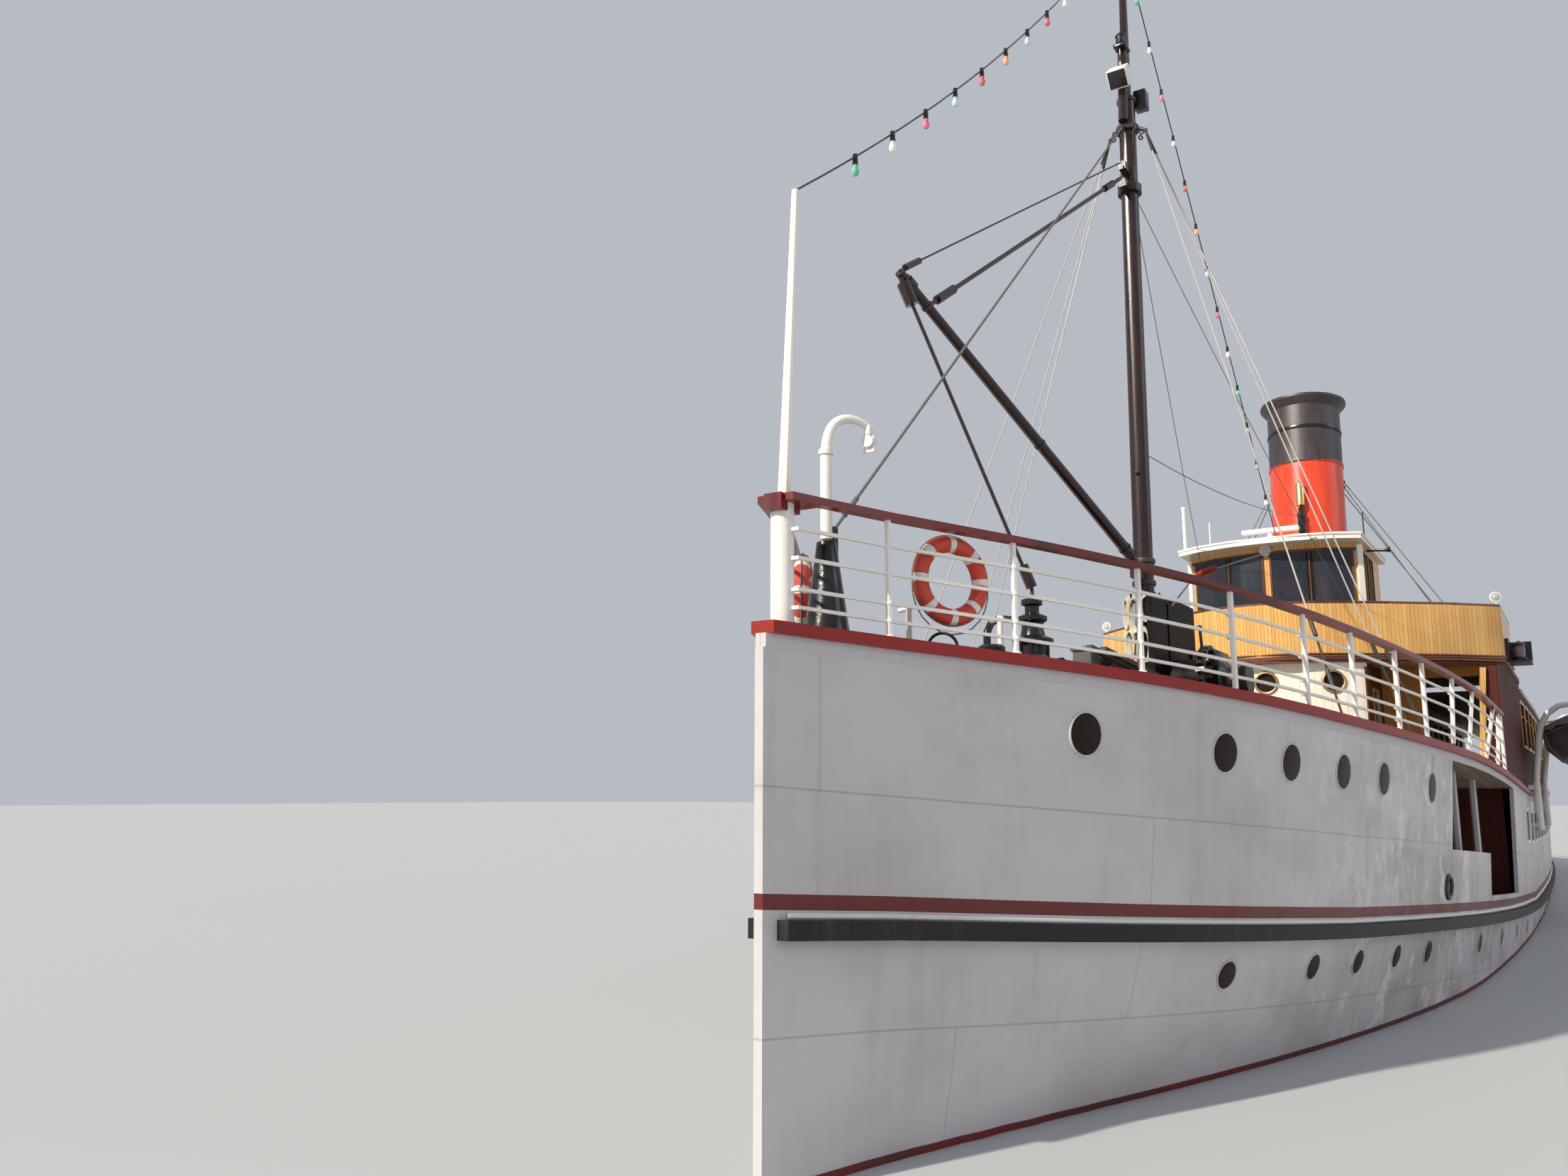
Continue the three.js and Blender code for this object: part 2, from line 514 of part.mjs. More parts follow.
function wheelhouseWalls() {
  const low = ROOF_UP + ROOF_THICK + GAP;
  const top = 7.22 - GAP;
  const walls = upright(roundedPlan(WHEELHOUSE_FRONT, WHEELHOUSE_END), low, top)
    .subtract(upright(roundedPlan(WHEELHOUSE_FRONT, WHEELHOUSE_END, 0.06), low - 1, top + 1));
  const frontPanes = [[0.07, 0.68], [0.78, 1.42]].flatMap(([y0, y1]) => [
    block([16, 18.2], [y0, y1], [WINDOW_SILL, WINDOW_HEAD]),
    block([16, 18.2], [-y1, -y0], [WINDOW_SILL, WINDOW_HEAD])]);
  const sidePanes = [[17.6, 18.2], [18.28, 18.85]].map(([s0, s1]) => (
    block([s0, s1], [-2, 2], [WINDOW_SILL, WINDOW_HEAD])));
  const doors = block(WHEELHOUSE_DOOR.aft, [-2, 2], WHEELHOUSE_DOOR.up);
  const rearPane = block([19.2, 20.5], [-1.1, 1.1], [WINDOW_SILL, WINDOW_HEAD])
    .subtract(block([18, 19.65], [-2, 2], [5, 8]));
  return cut(walls, [...frontPanes, ...sidePanes, doors, rearPane]);
}

const wheelhouseDoor = () => (
  block(inside(WHEELHOUSE_DOOR.aft), [WHEELHOUSE_HALF - LEAF, WHEELHOUSE_HALF], inside(WHEELHOUSE_DOOR.up)));

function wheelhouseRoof() {
  const eaves = [[17.0, 1.64], [16.74, 1.2], [16.58, 0.6], [16.54, 0]];
  const end = 20.1;
  const slab = upright(roundedPlan(eaves, end), 7.22, 7.33);
  return slab.add(upright(roundedPlan(eaves, end, 0.14), 7.3, 7.36));
}

// Funnel: raked tube with a rolled lip, on a casing that rises through the bridge deck.
function funnelCasing() {
  return block([20.35, 22.6], [-1.08, 1.08], [ROOF_UP + ROOF_THICK + GAP, FUNNEL.foot]);
}

function funnel() {
  const { radius, lip, wall, top, rake } = FUNNEL;
  const height = top - 5;
  const profile = [
    [radius - wall, 0], [radius, 0], [radius, height - 0.2], [lip - 0.03, height - 0.09], [lip, height - 0.05],
    [lip, height], [radius - wall, height], [radius - wall, 0]];
  const base = at(FUNNEL.aft - height * Math.tan(radians(rake)), 0, 5);
  return spun(profile, base, 32, rake).subtract(block([19, 25], [-2, 2], [4, FUNNEL.foot + GAP]));
}

function whistle() {
  const front = (up) => FUNNEL.aft - (FUNNEL.top - up) * Math.tan(radians(FUNNEL.rake)) - FUNNEL.radius - 0.11;
  const pipe = rod(at(front(5.7), 0, FUNNEL.foot + GAP), at(front(9.1), 0, 9.1), 0.05, 8);
  const bell = rod(at(front(9.0), 0, 9.0), at(front(9.7), 0, 9.7), 0.085, 10);
  return pipe.add(bell).subtract(block([19, 25], [-2, 2], [4, FUNNEL.foot + GAP]));
}

// Hard roof over the promenade deck, aft of the bridge, with its pillars.
function promenadeRoof() {
  const half = (aft) => form(aft).prom;
  const slab = sheerSlab(BRIDGE_END + 0.01, ROOF_END, half, () => AWNING_UP, () => AWNING_UP + AWNING_THICK);
  const pillars = [39.2, 41, 42.8, 44.6].flatMap((aft) => SIDES.map(([, sign]) => {
    const port = sign * (form(aft).prom - 0.32);
    return rod(at(aft, port, promTop(aft) + 0.01), at(aft, port, AWNING_UP + 0.04), 0.045, 6);
  }));
  return joined([slab, ...pillars]);
}

// Panelled screens along the promenade deck's edge. Each turns inboard at its fore end, and a bulkhead with
// an open doorway to the promenade joins it to the house.
const SCREEN_INSET = 0.02;
const SCREEN_THICK = 0.05;
const SCREEN_BULKHEAD = 18.3;
const DOORWAY = { port: [2.33, 3.25], high: 4.72 };

function screenWall() {
  const slope = (aft) => AWNING_UP + (ROOF_UP - AWNING_UP) * Math.min(1, (aft - SCREEN_START) / 1.8);
  const wall = skinned(stationsBetween(SCREEN_START, SCREEN_END).map((aft) => {
    const y = form(aft).prom - SCREEN_INSET;
    const [z0, z1] = [promTop(aft), slope(aft) - GAP];
    return [at(aft, y, z0), at(aft, y, z1), at(aft, y - SCREEN_THICK, z1), at(aft, y - SCREEN_THICK, z0)];
  }));
  return wall.subtract(block([BRIDGE_END, SCREEN_END + 1], [3, 4], [AWNING_UP - GAP, 6]));
}

function sideScreen() {
  const windows = Array.from({ length: 8 }, (_, i) => {
    const aft = 22.6 + i * 1.9;
    return block([aft, aft + 1.5], [3, 4], [3.6, 4.5]);
  });
  const outer = form(SCREEN_START).prom - SCREEN_INSET - 0.02;
  const turnedIn = block([SCREEN_START, SCREEN_START + 0.06], [3.34, outer], [2, AWNING_UP - GAP]);
  const range = [SCREEN_BULKHEAD, SCREEN_BULKHEAD + 0.06];
  const insideCap = form(SCREEN_BULKHEAD).prom - 0.17;
  const bulkhead = block(range, [HOUSE_HALF + GAP, insideCap], [2, ROOF_UP - GAP])
    .subtract(block([17, 20], DOORWAY.port, [2, DOORWAY.high]));
  const overCap = joined([screenWall(), turnedIn, block(range, [insideCap - 0.05, outer], [2, ROOF_UP - GAP])]);
  return cut(overCap.subtract(belowCap).add(onPromenade(bulkhead)), windows);
}

// Saloon house on the promenade deck under the hard roof.
function saloonHouse() {
  const outer = [[26, 1.5], [37, 1.5], [37, -1.5], [26, -1.5]];
  const inner = [[26.07, 1.43], [36.93, 1.43], [36.93, -1.43], [26.07, -1.43]];
  const walls = upright(outer, 2, AWNING_UP - GAP).subtract(upright(inner, 1, 6));
  const windows = Array.from({ length: 7 }, (_, i) => (
    block([26.6 + i * 1.4, 27.5 + i * 1.4], [-2, 2], [3.6, 4.4])));
  const door = block([36, 38], [-0.42, 0.42], [2, 4.6]);
  return onPromenade(cut(walls, [...windows, door]));
}

// Spars.
const HOUNDS = 12.0;
const SPAN_EYE_UP = HOUNDS - 0.6;
const rakeShift = (up) => (up - MAST.foot) * Math.tan(radians(MAST.rake));
const onMast = (up, port = 0) => at(MAST.aft + rakeShift(up), port, up);

function foremast() {
  const lower = rod(onMast(3), onMast(MAST.thickTop), MAST.radius, 12, 0.12);
  const doubling = rod(at(MAST.aft + rakeShift(12.15) - 0.19, 0, 12.15), at(MAST.aft + rakeShift(13.6) - 0.1, 0, 13.6), 0.07, 8);
  const topmast = rod(onMast(12.3), onMast(MAST.top), 0.075, 8, 0.045);
  const truck = rod(onMast(MAST.top - 0.02), onMast(MAST.top + 0.04), 0.08, 8);
  const liftBand = rod(onMast(BOOM.liftUp - 0.06), onMast(BOOM.liftUp + 0.06), 0.17, 12);
  const lug = (top, reach) => {
    const aft = MAST.aft + rakeShift(top);
    return block([aft - reach, aft], [-0.05, 0.05], [top - 0.12, top]);
  };
  const gooseneck = lug(BOOM.root - 0.1 - CLEAR, MAST_BOOM_OFFSET + 0.06);
  const eyes = [BOOM.liftUp + 0.05, SPAN_EYE_UP + 0.05].map((top) => lug(top, MAST_BOOM_OFFSET - 0.05));
  return onPromenade(joined([lower, doubling, topmast, truck, liftBand, gooseneck, ...eyes]));
}

// Main stays, all made fast to the lugs of one band round the mast. The forestay comes down to a plate on
// the head of the anchor davit's stand, the shrouds to the deck edge.
const SHROUD_FEET = [6.86, 9.24, 9.97];
const STAY_REACH = 0.26;
const FORESTAY_PLATE = { aft: [0.985, 1.06], half: 0.02, up: [4.3, 4.66] };

function foreStays() {
  const band = rod(onMast(HOUNDS - 0.07), onMast(HOUNDS + 0.07), 0.19, 12)
    .subtract(rod(onMast(HOUNDS - 0.5), onMast(HOUNDS + 0.5), 0.127 + GAP * 2, 24));
  const lugEnd = new THREE.Vector3(STAY_REACH, 0, 0);
  const lugs = [
    rod(onMast(HOUNDS).addScaledVector(lugEnd, 0.6), onMast(HOUNDS).addScaledVector(lugEnd, 1.05), 0.03, 6),
    ...SIDES.map(([, sign]) => (
      rod(onMast(HOUNDS, sign * STAY_REACH * 0.6), onMast(HOUNDS, sign * STAY_REACH * 1.05), 0.03, 6)))];
  const plate = FORESTAY_PLATE;
  const forestay = rod(onMast(HOUNDS).add(lugEnd), at(plate.aft[1] - 0.03, 0, plate.up[1] - 0.02), 0.022, 6)
    .subtract(davitPost(GAP));
  const shrouds = SHROUD_FEET.flatMap((aft) => SIDES.map(([, sign]) => {
    const port = sign * (form(aft).prom - 0.1);
    return rod(onMast(HOUNDS, sign * STAY_REACH), at(aft, port, capTop(aft) + 0.006), 0.018, 6);
  }));
  return joined([band, forestay, ...lugs, ...shrouds]);
}

// Derrick boom with its topping lift and cargo tackle, swinging about an axis parallel to the mast.
const boomRoot = at(MAST.aft + rakeShift(BOOM.root) - MAST_BOOM_OFFSET, 0, BOOM.root);
const liftEye = at(MAST.aft + rakeShift(BOOM.liftUp) - MAST_BOOM_OFFSET, 0, BOOM.liftUp);
const boomHead = boomRoot.clone().add(new THREE.Vector3(
  BOOM.reach * Math.cos(radians(BOOM.slewRest)), -BOOM.reach * Math.sin(radians(BOOM.slewRest)), BOOM.climb));

function derrickBoom() {
  const along = boomHead.clone().sub(boomRoot).normalize();
  const spar = rod(boomRoot.clone().addScaledVector(along, 0.12), boomHead, BOOM.radius, 10, 0.055);
  const heel = rod(boomRoot.clone().add(new THREE.Vector3(0, 0, -0.1)),
    boomRoot.clone().add(new THREE.Vector3(0, 0, 0.12)), 0.05, 8);
  const fork = rod(boomRoot.clone().addScaledVector(along, -0.02), boomRoot.clone().addScaledVector(along, 0.2), 0.05, 8);
  const headBand = rod(boomHead.clone().addScaledVector(along, -0.25), boomHead.clone().addScaledVector(along, -0.13), 0.08, 10);
  return joined([spar, heel, fork, headBand, boomRigging()]);
}

// Straight rigging between two points, with a block at each of the listed shares of its length.
function tackle(from, to, radius, blocks) {
  const falls = rod(from, to, radius, 6);
  const shells = blocks.map(([start, end, size]) => (
    rod(from.clone().lerp(to, start), from.clone().lerp(to, end), size, 8)));
  return joined([falls, ...shells]);
}

const CARGO_HOOK = { aft: 5.1, port: 0, up: 4.76 };

function boomRigging() {
  const liftFoot = boomRoot.clone().lerp(boomHead, 0.9);
  const lift = tackle(liftFoot, liftEye.clone().add(new THREE.Vector3(0.05, 0, 0)), 0.03,
    [[0.04, 0.11, 0.055], [0.9, 0.95, 0.05]]);
  const spanEye = at(MAST.aft + rakeShift(SPAN_EYE_UP) - MAST_BOOM_OFFSET, 0, SPAN_EYE_UP);
  const span = tackle(boomHead.clone().add(new THREE.Vector3(0, 0, 0.02)), spanEye, 0.012, [[0.02, 0.07, 0.04]]);
  const hook = at(CARGO_HOOK.aft, CARGO_HOOK.port, CARGO_HOOK.up);
  const cargo = tackle(boomHead.clone().add(new THREE.Vector3(0, 0, -0.02)), hook, 0.02,
    [[0.03, 0.1, 0.075], [0.93, 1, 0.06]]);
  return joined([lift, span, cargo]);
}

function jackstaff() {
  return rod(at(0.32, 0, form(0).promUp + RAIL_HEIGHT + GAP), at(0.48, 0, 7.25), 0.05, 8, 0.03);
}

// Foredeck fittings.
const DAVIT = { aft: 0.915, foot: 4.545, radius: 0.045 };

function davitPost(spread) {
  const profile = [[0, -0.2], [0.23, -0.2], [0.19, 0.0], [0.075, 0.8], [0, 0.82]];
  const post = spun(profile.map(([r, up]) => [r > 0 ? r + spread : 0, up]), at(DAVIT.aft, 0, 3.72), 12);
  const { aft, half, up } = FORESTAY_PLATE;
  return post.add(block([aft[0] - spread, aft[1] + spread], [-half - spread, half + spread], [up[0], up[1] + spread]));
}

function anchorDavit() {
  const { aft, foot, radius } = DAVIT;
  const path = [
    at(aft, 0, foot), at(aft, 0, 5.15), at(aft + 0.03, 0.02, 5.42), at(aft + 0.13, 0.09, 5.56),
    at(aft + 0.25, 0.17, 5.51), at(aft + 0.29, 0.2, 5.36)];
  const block = rod(at(aft + 0.29, 0.2, 5.38), at(aft + 0.29, 0.2, 5.16), 0.05, 8);
  return bentTube(path, radius, 8, 11).add(block);
}

const CAPSTAN = { aft: 5.08, plateTop: 3.56 };

function capstanBase() {
  return onPromenade(rod(at(CAPSTAN.aft, 0, 3.2), at(CAPSTAN.aft, 0, CAPSTAN.plateTop), 0.36, 14));
}

function capstanDrum() {
  const profile = [
    [0, 0], [0.27, 0], [0.27, 0.06], [0.21, 0.12], [0.19, 0.48], [0.235, 0.6], [0.235, 0.68], [0.12, 0.74],
    [0.12, 0.8], [0.155, 0.83], [0.155, 0.87], [0.075, 0.91], [0.075, 0.98], [0.112, 1.0], [0.112, 1.05], [0, 1.06]];
  return spun(profile, at(CAPSTAN.aft, 0, CAPSTAN.plateTop + CLEAR), 14);
}

function cargoWinch() {
  const bed = block([7.4, 8.7], [-0.9, 1.2], [3, 3.5]);
  const shields = [[7.45, 8.05, 4.99], [8.13, 9.3, 5.02]].map(([from, to, top]) => block([from, to], [0.5, 0.57], [3, top]));
  const gearCase = block([7.75, 8.95], [0.72, 1.18], [3, 4.1]);
  const drum = rod(at(7.95, -0.8, 3.95), at(7.95, 1.0, 3.95), 0.26, 14);
  const cheeks = [-0.8, -0.2].map((y) => rod(at(7.95, y, 3.95), at(7.95, y + 0.06, 3.95), 0.38, 14));
  const stand = block([7.85, 8.05], [-0.5, -0.4], [3.3, 3.95]);
  return onPromenade(joined([bed, ...shields, gearCase, drum, ...cheeks, stand]));
}

function foreHatch() {
  const coaming = block([10.2, 12.0], [-0.95, 0.95], [3, 3.55]);
  return onPromenade(coaming.add(block([10.12, 12.08], [-1.03, 1.03], [3.5, 3.6])));
}

function swanNeckVent() {
  const path = [
    at(3.85, 0.2, 3.3), at(3.85, 0.2, 4.0), at(3.92, 0.22, 4.2), at(4.12, 0.26, 4.22), at(4.22, 0.28, 4.02)];
  return onPromenade(bentTube(path, 0.045, 8, 9));
}

// Boats on radial davits.
const BOAT = { fore: 21.3, length: 6.4, half: 0.88, port: 4.8, keel: 3.1, gunwale: 3.95 };

function lifeboat() {
  const shares = [0, 0.06, 0.16, 0.3, 0.5, 0.7, 0.86, 1];
  return skinned(shares.map((share) => {
    const full = Math.max(0.05, Math.sqrt(Math.max(0, 1 - (2 * share - 1) ** 2))) * BOAT.half;
    const rise = 0.28 * (2 * share - 1) ** 4;
    const keel = BOAT.keel + rise * 1.2;
    const edge = BOAT.gunwale + rise * 0.6;
    const aft = BOAT.fore + share * BOAT.length;
    const half = [[0.03, keel], [full * 0.62, keel + 0.18], [full * 0.92, keel + 0.45], [full, edge]];
    const port = half.map(([y, up]) => at(aft, BOAT.port + y, up));
    const starboard = half.map(([y, up]) => at(aft, BOAT.port - y, up)).reverse();
    return [...port, at(aft, BOAT.port, edge + 0.12 * full), ...starboard];
  }));
}

const DAVITS = [['fore', 22.3], ['aft', 26.9]];
const BOAT_DAVIT = { port: 3.8, foot: 1.9, radius: 0.06 };

// The ship's side between the decks and above, as wide as the plating.
function sideEnvelope(from, to) {
  return skinned(stationsBetween(from, to).map((aft) => {
    const { prom, main, promUp, mainUp } = form(aft);
    const half = [[main + GAP, mainUp], [prom + GAP, promUp - DECK_THICK], [prom + GAP, 9]];
    const port = half.map(([y, up]) => at(aft, y, up));
    return [...port, ...half.map(([y, up]) => at(aft, -y, up)).reverse()];
  }));
}

function boatDavit(aft) {
  const { port, foot, radius } = BOAT_DAVIT;
  const path = [
    at(aft, port, foot + 0.1), at(aft, port, 2.8), at(aft, port + 0.1, 3.5), at(aft, port + 0.17, 3.95),
    at(aft, port + 0.36, 4.27), at(aft, port + 0.68, 4.42), at(aft, BOAT.port, 4.34)];
  const arm = bentTube(path, radius, 8, 12);
  const socket = rod(at(aft, port, foot), at(aft, port, foot + 0.95), radius + 0.015, 10);
  const brackets = [foot + 0.05, foot + 0.8].map((up) => block([aft - 0.06, aft + 0.06], [3.4, port], [up, up + 0.09]));
  const fall = rod(at(aft, BOAT.port, 4.36), at(aft, BOAT.port, 4.1), 0.03, 6);
  return joined([arm, socket, ...brackets, fall]).subtract(sideEnvelope(aft - 1, aft + 1));
}

// Lifebuoy hung inside the port rail of the foredeck.
const LIFEBUOY = { aft: 1.665, port: 0.685, up: 4.265, radius: 0.29, tube: 0.067, turn: 28.3 };

function lifebuoy() {
  const { aft, port, up, radius, tube, turn } = LIFEBUOY;
  const ring = new THREE.TorusGeometry(radius, tube, 8, 28);
  ring.rotateX(Math.PI / 2);
  ring.rotateZ(radians(-turn));
  const centre = at(aft, port, up);
  return solidOf(ring.translate(centre.x, centre.y, centre.z));
}

// Sidelight boxes outside the bridge wings.
function sidelightBox() {
  const [inner, outer] = [3.66 + GAP, 4.05];
  const floor = block([18.6, 19.4], [inner, outer], [4.96, 5.0]);
  const back = block([18.6, 19.4], [inner, 3.72], [4.96, 5.4]);
  const screen = block([19.34, 19.4], [inner, outer], [4.96, 5.4]);
  return joined([floor, back, screen]);
}

// Under water: shafts with brackets, propellers and rudder.
function shaftLine() {
  const { port, up, aft } = PROPELLER;
  const shaft = rod(at(38.5, port, up), at(aft - 0.3, port, up), 0.1, 10);
  const boss = rod(at(44.6, port, up), at(aft - 0.26, port, up), 0.15, 12);
  const arms = [1.75, 0.55].map((y) => rod(at(44.8, port, up), at(44.7, y, 0.4), 0.06, 6));
  return joined([shaft, boss, ...arms]);
}

function propeller(handed) {
  const { port, up, aft, radius, hub, blades } = PROPELLER;
  const centre = at(aft, port, up);
  const outline = new THREE.Shape();
  outline.absellipse(0, radius * 0.56, radius * 0.27, radius * 0.44, 0, 2 * Math.PI);
  const blade = solidOf(new THREE.ExtrudeGeometry(outline, { depth: 0.03, bevelEnabled: false, curveSegments: 5 })
    .translate(0, 0, -0.015));
  const pitched = turned(blade, new THREE.Vector3(0, 1, 0), 90 - handed * 38, new THREE.Vector3());
  const upright4 = turned(pitched, new THREE.Vector3(1, 0, 0), 90, new THREE.Vector3());
  const set = Array.from({ length: blades }, (_, i) => (
    turned(upright4, new THREE.Vector3(1, 0, 0), (360 / blades) * i, new THREE.Vector3())));
  const body = rod(new THREE.Vector3(0.22, 0, 0), new THREE.Vector3(-0.2, 0, 0), hub, 12, hub * 0.8);
  const cone = rod(new THREE.Vector3(-0.19, 0, 0), new THREE.Vector3(-0.42, 0, 0), hub * 0.78, 12, 0.03);
  return moved(joined([body, cone, ...set]), centre);
}

function rudder() {
  const { aft, low, high, fore, trail } = RUDDER;
  const plan = [[fore, 0.02], [aft, 0.08], [trail, 0.02], [trail, -0.02], [aft, -0.08], [fore, -0.02]];
  const stock = rod(at(aft, 0, high - 0.2), at(aft, 0, 0.45), 0.1, 12);
  return upright(plan, low, high).add(stock);
}

function ensignStaff() {
  const low = form(50.9).promUp + 0.1;
  return onPromenade(rod(at(50.5, 0, low - 0.3), at(51.05, 0, low + 2.5), 0.035, 8, 0.022));
}

// The ship, piece by piece.

addPiece('hull', hull(), 'whitePaint');
addPiece('rubbing_strake', rubbingStrake(), 'blackPaint');
addPiece('promenade_deck', promenadeDeck(), 'deckWood');
addPiece('deck_edge_cap', deckCap(), 'redBrown');
addPiece('fore_rails', foreRails(), 'whitePaint');
addPiece('fore_handrail', foreHandrail(), 'redBrown');
addPiece('lifebuoy', lifebuoy(), 'buoyOrange');
addPiece('aft_rails', aftRails(), 'whitePaint');
for (const [side, sign] of SIDES) addPiece(`main_side_wall_${side}`, onSide(mainSideWall(), sign), 'whitePaint');
addPiece('fore_bulkhead', crossBulkhead(BAY_END + 0.1, 0.06, [MAIN_DOOR, { ...MAIN_DOOR, port: -2.2 }]), 'darkPanel');
addPiece('aft_bulkhead', crossBulkhead(SIDE_END - 0.2, 0.06, [{ port: 0, width: 1.4, height: 1.68 }]), 'darkPanel');
addPiece('stern_bulwark', sternBulwark(), 'whitePaint');
addPiece('boiler_block', boiler(), 'steelGrey');
addPiece('engine_block', engines(), 'steelGrey');
addPiece('bridge_house', bridgeHouse(), 'whitePaint');
addPiece('bridge_deck', bridgeDeck(), 'deckWood');
addPiece('bridge_bulwark', bridgeBulwark(), 'varnish');
addPiece('wheelhouse_walls', wheelhouseWalls(), 'varnish');
addPiece('wheelhouse_roof', wheelhouseRoof(), 'whitePaint');
addPiece('funnel_casing', funnelCasing(), 'whitePaint');
addPiece('funnel', funnel(), 'funnelRed');
addPiece('steam_whistle', whistle(), 'brass');
addPiece('promenade_roof', promenadeRoof(), 'redBrown');
for (const [side, sign] of SIDES) addPiece(`side_screen_${side}`, onSide(sideScreen(), sign), 'darkPanel');
for (const [side, sign] of SIDES) {
  addPiece(`house_door_${side}`, onSide(houseDoor(), sign), 'varnish');
  addPiece(`wheelhouse_door_${side}`, onSide(wheelhouseDoor(), sign), 'varnish');
}
addPiece('saloon_house', saloonHouse(), 'whitePaint');
addPiece('foremast', foremast(), 'blackPaint');
addPiece('foremast_stays', foreStays(), 'blackPaint');
addPiece('derrick_boom', derrickBoom(), 'blackPaint');
addPiece('jackstaff', jackstaff(), 'whitePaint');
addPiece('davit_stand', onPromenade(davitPost(0)), 'blackPaint');
addPiece('anchor_davit', anchorDavit(), 'whitePaint');
addPiece('capstan_base', capstanBase(), 'blackPaint');
addPiece('capstan_drum', capstanDrum(), 'blackPaint');
addPiece('cargo_winch', cargoWinch(), 'blackPaint');
addPiece('fore_hatch', foreHatch(), 'steelGrey');
addPiece('swan_neck_vent', swanNeckVent(), 'blackPaint');
for (const [side, sign] of SIDES) {
  addPiece(`lifeboat_${side}`, onSide(lifeboat(), sign), 'boatGrey');
  for (const [end, aft] of DAVITS) addPiece(`boat_davit_${end}_${side}`, onSide(boatDavit(aft), sign), 'whitePaint');
  addPiece(`sidelight_box_${side}`, onSide(sidelightBox(), sign), 'darkPanel');
  addPiece(`shaft_line_${side}`, onSide(shaftLine(), sign).subtract(hullBody(GAP)), 'steelGrey');
  addPiece(`propeller_${side}`, onSide(propeller(1), sign), 'bronze');
}
addPiece('rudder', rudder(), 'whitePaint');
addPiece('ensign_staff', ensignStaff(), 'whitePaint');

export default steamer;
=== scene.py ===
"""Dresses a half-size lake steamer: finishes, glass, fittings, rigging, floor, lights and camera.

Lengths in the classes are metres on the real ship: ``aft`` from the stem, ``port`` from the centreline and
``up`` from the water. Every piece is shrunk to the half-size model as it is finished. Finishes work in the
model's own metres.
"""

import json
import logging
import math
from collections.abc import Callable, Iterable, Sequence
from dataclasses import dataclass, replace
from enum import Enum

import bmesh
import bpy
from mathutils import Matrix, Quaternion, Vector
from mathutils.bvhtree import BVHTree
from mathutils.geometry import interpolate_bezier

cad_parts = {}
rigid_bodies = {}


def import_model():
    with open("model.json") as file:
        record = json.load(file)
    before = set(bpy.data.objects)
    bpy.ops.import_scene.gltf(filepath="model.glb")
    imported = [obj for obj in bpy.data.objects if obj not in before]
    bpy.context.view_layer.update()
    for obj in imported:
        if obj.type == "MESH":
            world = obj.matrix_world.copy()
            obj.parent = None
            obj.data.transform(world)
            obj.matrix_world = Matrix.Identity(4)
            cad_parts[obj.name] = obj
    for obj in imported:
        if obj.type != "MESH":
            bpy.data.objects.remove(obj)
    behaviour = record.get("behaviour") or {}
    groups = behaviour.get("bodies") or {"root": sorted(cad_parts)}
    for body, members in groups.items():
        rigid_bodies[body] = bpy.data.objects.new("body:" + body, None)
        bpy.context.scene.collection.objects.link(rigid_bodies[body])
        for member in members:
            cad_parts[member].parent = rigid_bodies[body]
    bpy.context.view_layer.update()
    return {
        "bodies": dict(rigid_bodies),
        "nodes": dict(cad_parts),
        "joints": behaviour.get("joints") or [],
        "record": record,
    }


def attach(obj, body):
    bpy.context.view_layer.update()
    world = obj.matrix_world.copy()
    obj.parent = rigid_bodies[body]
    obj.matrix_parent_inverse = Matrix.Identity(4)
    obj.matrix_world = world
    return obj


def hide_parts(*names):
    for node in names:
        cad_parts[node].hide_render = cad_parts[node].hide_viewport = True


log = logging.getLogger("steamer")

Colour = tuple[float, float, float]
Spot = tuple[float, float, float]
Pairs = tuple[tuple[float, float], ...]

MODEL = 0.5
HALF_LENGTH = 25.6
SIDES = (("port", 1.0), ("starboard", -1.0))
SMOOTH_LIMIT = math.radians(32)
SAME_SPOT = 1e-5
AHEAD, TO_PORT, UP = Vector((1, 0, 0)), Vector((0, 1, 0)), Vector((0, 0, 1))

# Deck lines: aft, half-breadth at the promenade deck, height of the promenade deck, height of the main deck.
DECK_LINES = (
    (0.0, 0.035, 3.72, 1.93),
    (1.06, 0.47, 3.675, 1.86),
    (2.12, 1.04, 3.615, 1.78),
    (3.37, 1.66, 3.535, 1.69),
    (5.0, 2.32, 3.415, 1.58),
    (7.0, 2.80, 3.29, 1.45),
    (9.4, 3.17, 3.18, 1.32),
    (12.2, 3.46, 3.06, 1.17),
    (16.0, 3.62, 2.87, 0.97),
    (22.0, 3.66, 2.59, 0.70),
    (30.0, 3.66, 2.50, 0.62),
    (36.0, 3.60, 2.56, 0.68),
    (39.0, 3.52, 2.63, 0.75),
    (42.0, 3.36, 2.72, 0.84),
    (44.5, 3.10, 2.81, 0.93),
    (46.5, 2.76, 2.89, 1.01),
    (48.3, 2.27, 2.97, 1.09),
    (49.6, 1.70, 3.03, 1.15),
    (50.5, 1.10, 3.07, 1.19),
    (51.2, 0.26, 3.10, 1.22),
)


def place(aft: float, port: float, up: float) -> Vector:
    """Gives a point of the ship in real metres, with X forward from amidships."""
    return Vector((HALF_LENGTH - aft, port, up))


def compass(degrees: float) -> Vector:
    """Gives a level way at an angle from ahead, turning to port."""
    return Vector((math.cos(math.radians(degrees)), math.sin(math.radians(degrees)), 0))


def deck_line(aft: float, column: int) -> float:
    """Reads one column of the deck lines at a distance from the stem.

    Args:
        aft: distance from the stem.
        column: 1 for the half-breadth, 2 for the promenade deck, 3 for the main deck.

    Returns:
        The value there, in real metres.
    """
    for before, after in zip(DECK_LINES, DECK_LINES[1:]):
        if aft <= after[0]:
            share = (aft - before[0]) / (after[0] - before[0])
            return before[column] + (after[column] - before[column]) * share
    return DECK_LINES[-1][column]


